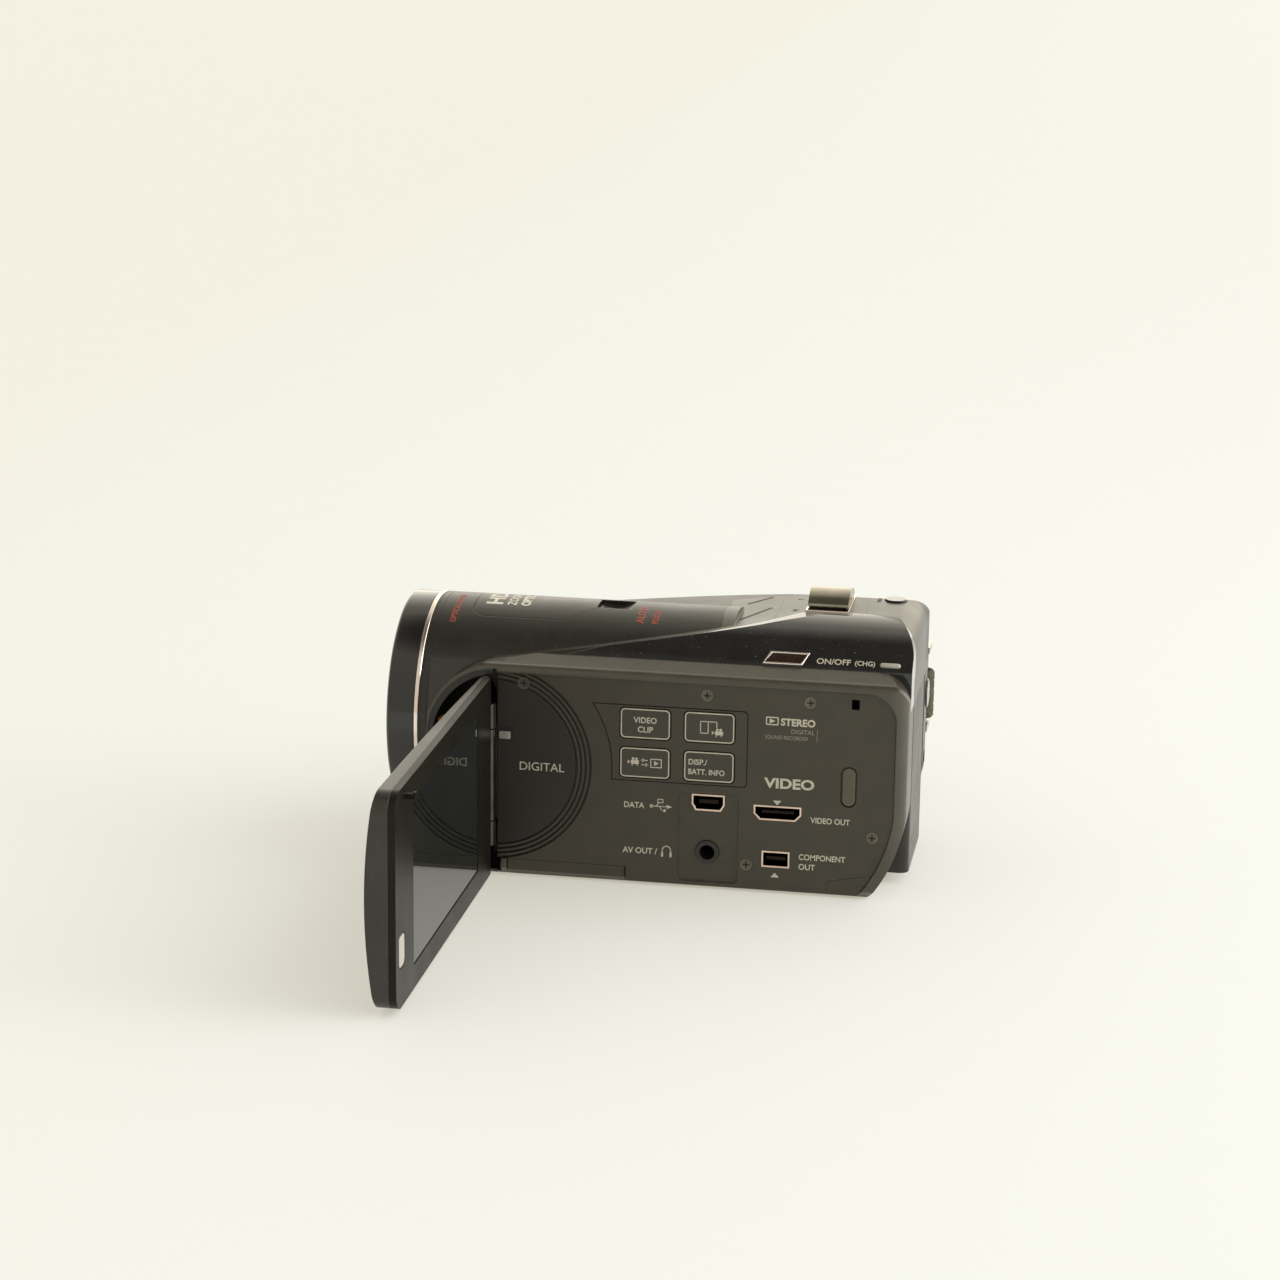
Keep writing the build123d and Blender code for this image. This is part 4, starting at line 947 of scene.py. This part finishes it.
def strap_stitches():
    """Two rows of stitches where each end of the webbing is sewn down."""
    stitches = []
    for x in (43.0, 44.6, 114.6, 116.0):
        y = on_arc(x, STRAP_R + 1.52)[1]
        for i in range(12):
            z = STRAP_LOW + 1.0 + i * 0.9
            stitches.append(capsule(at(x, y, z - 0.28), at(x, y, z + 0.28), 0.00014, 2, 6))
    add_mesh("strap_stitches", *merged(stitches), THREAD, "camera", "webbing", True)


def pad_point(u, v):
    """A place on the flat pad, for u and v from -1 to 1 along and across it."""
    return u * PAD_LENGTH / 2 * (1 - 0.06 * v ** 4), v * PAD_WIDTH / 2 * (1 - 0.20 * u ** 6)


def pad_bag():
    """Two cloth sheets, one on the other and joined at their edge. Returns the mesh and its seam."""
    nu, nv = 75, 31
    verts, faces, seam = [], [], []
    index = {}
    for side in (1, -1):
        for i in range(nu):
            for j in range(nv):
                u, v = i / (nu - 1) * 2 - 1, j / (nv - 1) * 2 - 1
                border = i in (0, nu - 1) or j in (0, nv - 1)
                x, z = pad_point(u, v)
                if border and side == -1:
                    index[(side, i, j)] = index[(1, i, j)]
                    continue
                bulge = 0.0 if border else 1.1 * side * (1 - u ** 8) * (1 - v ** 8)
                index[(side, i, j)] = len(verts)
                verts.append(Vector((x, bulge, z)) * 0.01)
                if border:
                    seam.append(len(verts) - 1)
    for side in (1, -1):
        for i in range(nu - 1):
            for j in range(nv - 1):
                corners = ((i, j), (i + 1, j), (i + 1, j + 1), (i, j + 1))
                quad = [index[(side, a, b)] for a, b in corners]
                faces.append(quad if side == 1 else quad[::-1])
    mesh = bpy.data.meshes.new("strap_cushion")
    mesh.from_pydata([tuple(v) for v in verts], [], faces)
    return mesh, seam


def blow_up(obj, frames=18):
    """Fills the bag with pressure, with its seam held, and keeps the shape that it takes."""
    cloth = obj.modifiers.new("cloth", "CLOTH")
    settings = cloth.settings
    settings.vertex_group_mass = "seam"
    settings.quality = 5
    settings.mass = 0.15
    settings.tension_stiffness = 12.0
    settings.compression_stiffness = 12.0
    settings.shear_stiffness = 4.0
    settings.bending_stiffness = 0.25
    settings.use_pressure = True
    settings.uniform_pressure_force = 4.0
    settings.shrink_min = -0.04
    settings.effector_weights.gravity = 0.0
    cloth.collision_settings.use_self_collision = False
    cloth.point_cache.frame_start = 1
    cloth.point_cache.frame_end = frames
    for f in range(1, frames + 1):
        SCENE.frame_set(f)
    graph = bpy.context.evaluated_depsgraph_get()
    done = bpy.data.meshes.new_from_object(obj.evaluated_get(graph))
    obj.modifiers.clear()
    obj.data = done
    SCENE.frame_set(1)


def pad_cloth():
    """A flat closed bag of cloth, blown up a little so that it wrinkles and bulges as padding does."""
    mesh, seam = pad_bag()
    obj = bpy.data.objects.new("strap_cushion", mesh)
    SCENE.collection.objects.link(obj)
    group = obj.vertex_groups.new(name="seam")
    group.add(seam, 1.0, "REPLACE")
    blow_up(obj)
    return obj


def strap_pad():
    """Bends the blown-up bag onto the strap's arc, flat under the webbing."""
    obj = pad_cloth()
    mesh = obj.data
    co = np.array([v.co for v in mesh.vertices], float) * 100
    x, y, z = co[:, 0], co[:, 1], co[:, 2]
    top = max(np.abs(y).max(), 0.01)
    y = y / top * PAD_HALF
    under = np.clip(1 - (np.abs(z) - 5.6) / 2.0, 0, 1)
    limit = 2.15 - 0.35 * under
    y = np.where(y > limit, limit + 0.15 * (y - limit), y)
    angle = math.pi / 2 - x / (PAD_R + 2.0)
    r = PAD_R + y
    out = np.stack([STRAP_X + r * np.cos(angle), STRAP_Y + r * np.sin(angle), PAD_Z + z], 1)
    out = (out - np.array(SHIFT)) * 0.001
    for v, p in zip(mesh.vertices, out):
        v.co = p
    mesh.materials.clear()
    mesh.materials.append(PAD)
    mesh.shade_smooth()
    obj.vertex_groups.clear()
    face_outwards(mesh)
    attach(obj, "camera")
    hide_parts("strap_pad")


def pad_edge(inset=0.5, power=8.0):
    """The bent pad's outline, a little inside its edge."""
    border = []
    for t in np.linspace(0, math.tau, 321)[:-1]:
        u, v = math.cos(t), math.sin(t)
        s = (abs(u) ** power + abs(v) ** power) ** (-1 / power)
        u, v = u * s, v * s
        x = u * (PAD_LENGTH / 2 - inset) * (1 - 0.06 * v ** 4)
        z = v * (PAD_WIDTH / 2 - inset) * (1 - 0.20 * u ** 6)
        a = math.pi / 2 - x / (PAD_R + 2.0)
        border.append(at(STRAP_X + PAD_R * math.cos(a), STRAP_Y + PAD_R * math.sin(a), PAD_Z + z))
    return border


def pad_piping(sides=8, radius=0.00085):
    """A round cord sewn along the pad's edge."""
    border = pad_edge()
    n = len(border)
    middle = at(STRAP_X, STRAP_Y, 0)
    verts = []
    for i, p in enumerate(border):
        direction = (border[(i + 1) % n] - border[i - 1]).normalized()
        outward = Vector((p.x - middle.x, p.y - middle.y, 0)).normalized()
        across = direction.cross(outward).normalized()
        outward = across.cross(direction).normalized()
        for j in range(sides):
            t = math.tau * j / sides
            verts.append(p + (outward * math.cos(t) + across * math.sin(t)) * radius)
    add_mesh("strap_piping", verts, quads(n, sides, closed=True), WEB, "camera", "webbing", True)


bay_lettering()
bay_marks()
bay_fine_print()
key_lettering()
top_lettering()
rear_and_base_lettering()
lens_lettering()
power_fittings()
fittings()
barrel_groove_shade()
front_rings()
strap_webbing()
strap_stitches()
strap_pad()
pad_piping()


# Floor, light and camera

FLOOR_HALF, FLOOR_DROP = 12.0, 0.00005


def floor():
    """Pale paper that glows a little, a hair below the base. Its colour is painted darker and warmer towards
    the left: painted shade away from the light.
    """
    m, nodes, links, shader = material("paper")
    place = nodes.new("ShaderNodeTexCoord")
    split = nodes.new("ShaderNodeSeparateXYZ")
    links.new(place.outputs["Object"], split.inputs["Vector"])
    spread = nodes.new("ShaderNodeMapRange")
    spread.inputs["From Min"].default_value = -0.35
    spread.inputs["From Max"].default_value = 0.25
    links.new(split.outputs["X"], spread.inputs["Value"])
    # Painted shade: darker and warmer on the left, lighter and bluer on the right.
    left, middle, right = (0.46, 0.495, 0.53), (0.48, 0.53, 0.60), (0.49, 0.55, 0.63)
    colour = ramp(nodes, links, spread.outputs["Result"], [(0.0, left), (0.5, middle), (1.0, right)])
    links.new(colour, shader.inputs["Base Color"])
    fibre = object_noise(nodes, links, 60.0, 8.0)
    links.new(ramp(nodes, links, fibre, [(0.3, 0.85), (0.7, 0.95)]), shader.inputs["Roughness"])
    shader.inputs["Specular IOR Level"].default_value = 0.1
    shader.inputs["Emission Color"].default_value = (1.0, 0.93, 0.75, 1)
    shader.inputs["Emission Strength"].default_value = 0.42
    mesh = bpy.data.meshes.new("floor")
    s = FLOOR_HALF
    mesh.from_pydata([(-s, -s, 0), (s, -s, 0), (s, s, 0), (-s, s, 0)], [], [[0, 1, 2, 3]])
    mesh.materials.append(m)
    obj = bpy.data.objects.new("floor", mesh)
    obj.location.z = -FLOOR_DROP
    SCENE.collection.objects.link(obj)


def window_light():
    """A soft window behind the rear."""
    data = bpy.data.lights.new("window", "AREA")
    data.energy = 2.6
    data.color = (0.95, 0.97, 1.0)
    data.shape = "RECTANGLE"
    data.size, data.size_y = 0.28, 0.6
    place, target = Vector((0.90, -0.05, 0.27)), Vector((0.03, 0, 0.04))
    obj = bpy.data.objects.new("window", data)
    obj.location = place
    obj.rotation_euler = (target - place).to_track_quat("-Z", "Y").to_euler()
    SCENE.collection.objects.link(obj)


def sun_light():
    """A very soft sun, high behind the rear."""
    sun = bpy.data.lights.new("sun", "SUN")
    sun.energy = 0.75
    sun.angle = math.radians(52)
    sun.color = (1.0, 0.96, 0.88)
    lamp = bpy.data.objects.new("sun", sun)
    lamp.rotation_euler = Vector((-0.80, -0.08, -0.59)).to_track_quat("-Z", "Y").to_euler()
    SCENE.collection.objects.link(lamp)


def sky():
    """A warm white room, whose strength is a product of banks: axis, from, to, and the strength at each."""
    world = bpy.data.worlds.new("studio")
    world.use_nodes = True
    nodes, links = world.node_tree.nodes, world.node_tree.links
    back = nodes["Background"]
    back.inputs["Color"].default_value = (1.0, 0.94, 0.80, 1)
    place = nodes.new("ShaderNodeTexCoord")
    split = nodes.new("ShaderNodeSeparateXYZ")
    links.new(place.outputs["Generated"], split.inputs["Vector"])
    banks = (("Y", (-1.0, 0.5, 0.80, 1.0)), ("Y", (0.6, 1.0, 1.0, 2.4)), ("X", (-1.0, 0.4, 0.75, 1.0)),
             ("X", (0.4, 1.0, 1.0, 1.5)), ("Z", (0.84, 0.96, 1.0, 0.20)))
    total = None
    for axis, values in banks:
        bank = nodes.new("ShaderNodeMapRange")
        links.new(split.outputs[axis], bank.inputs["Value"])
        for socket, value in zip(("From Min", "From Max", "To Min", "To Max"), values):
            bank.inputs[socket].default_value = value
        if total is None:
            total = bank.outputs["Result"]
            continue
        product = nodes.new("ShaderNodeMath")
        product.operation = "MULTIPLY"
        links.new(total, product.inputs[0])
        links.new(bank.outputs["Result"], product.inputs[1])
        total = product.outputs[0]
    links.new(total, back.inputs["Strength"])
    SCENE.world = world


def viewpoint():
    data = bpy.data.cameras.new("camera_view")
    data.lens = 93.66
    data.sensor_width = 36.0
    data.clip_start = 0.05
    obj = bpy.data.objects.new("camera_view", data)
    right, up = Vector((0.9853, 0.1706, 0.0126)), Vector((-0.0561, 0.2525, 0.966))
    forward = Vector((-0.1616, 0.9524, -0.2584))
    turn = Matrix((right, up, -forward)).transposed().to_4x4()
    obj.matrix_world = Matrix.Translation((0.1230, -0.7607, 0.2583)) @ turn
    SCENE.collection.objects.link(obj)
    SCENE.camera = obj


floor()
sky()
sun_light()
window_light()
SCENE.view_settings.view_transform = "Standard"
viewpoint()
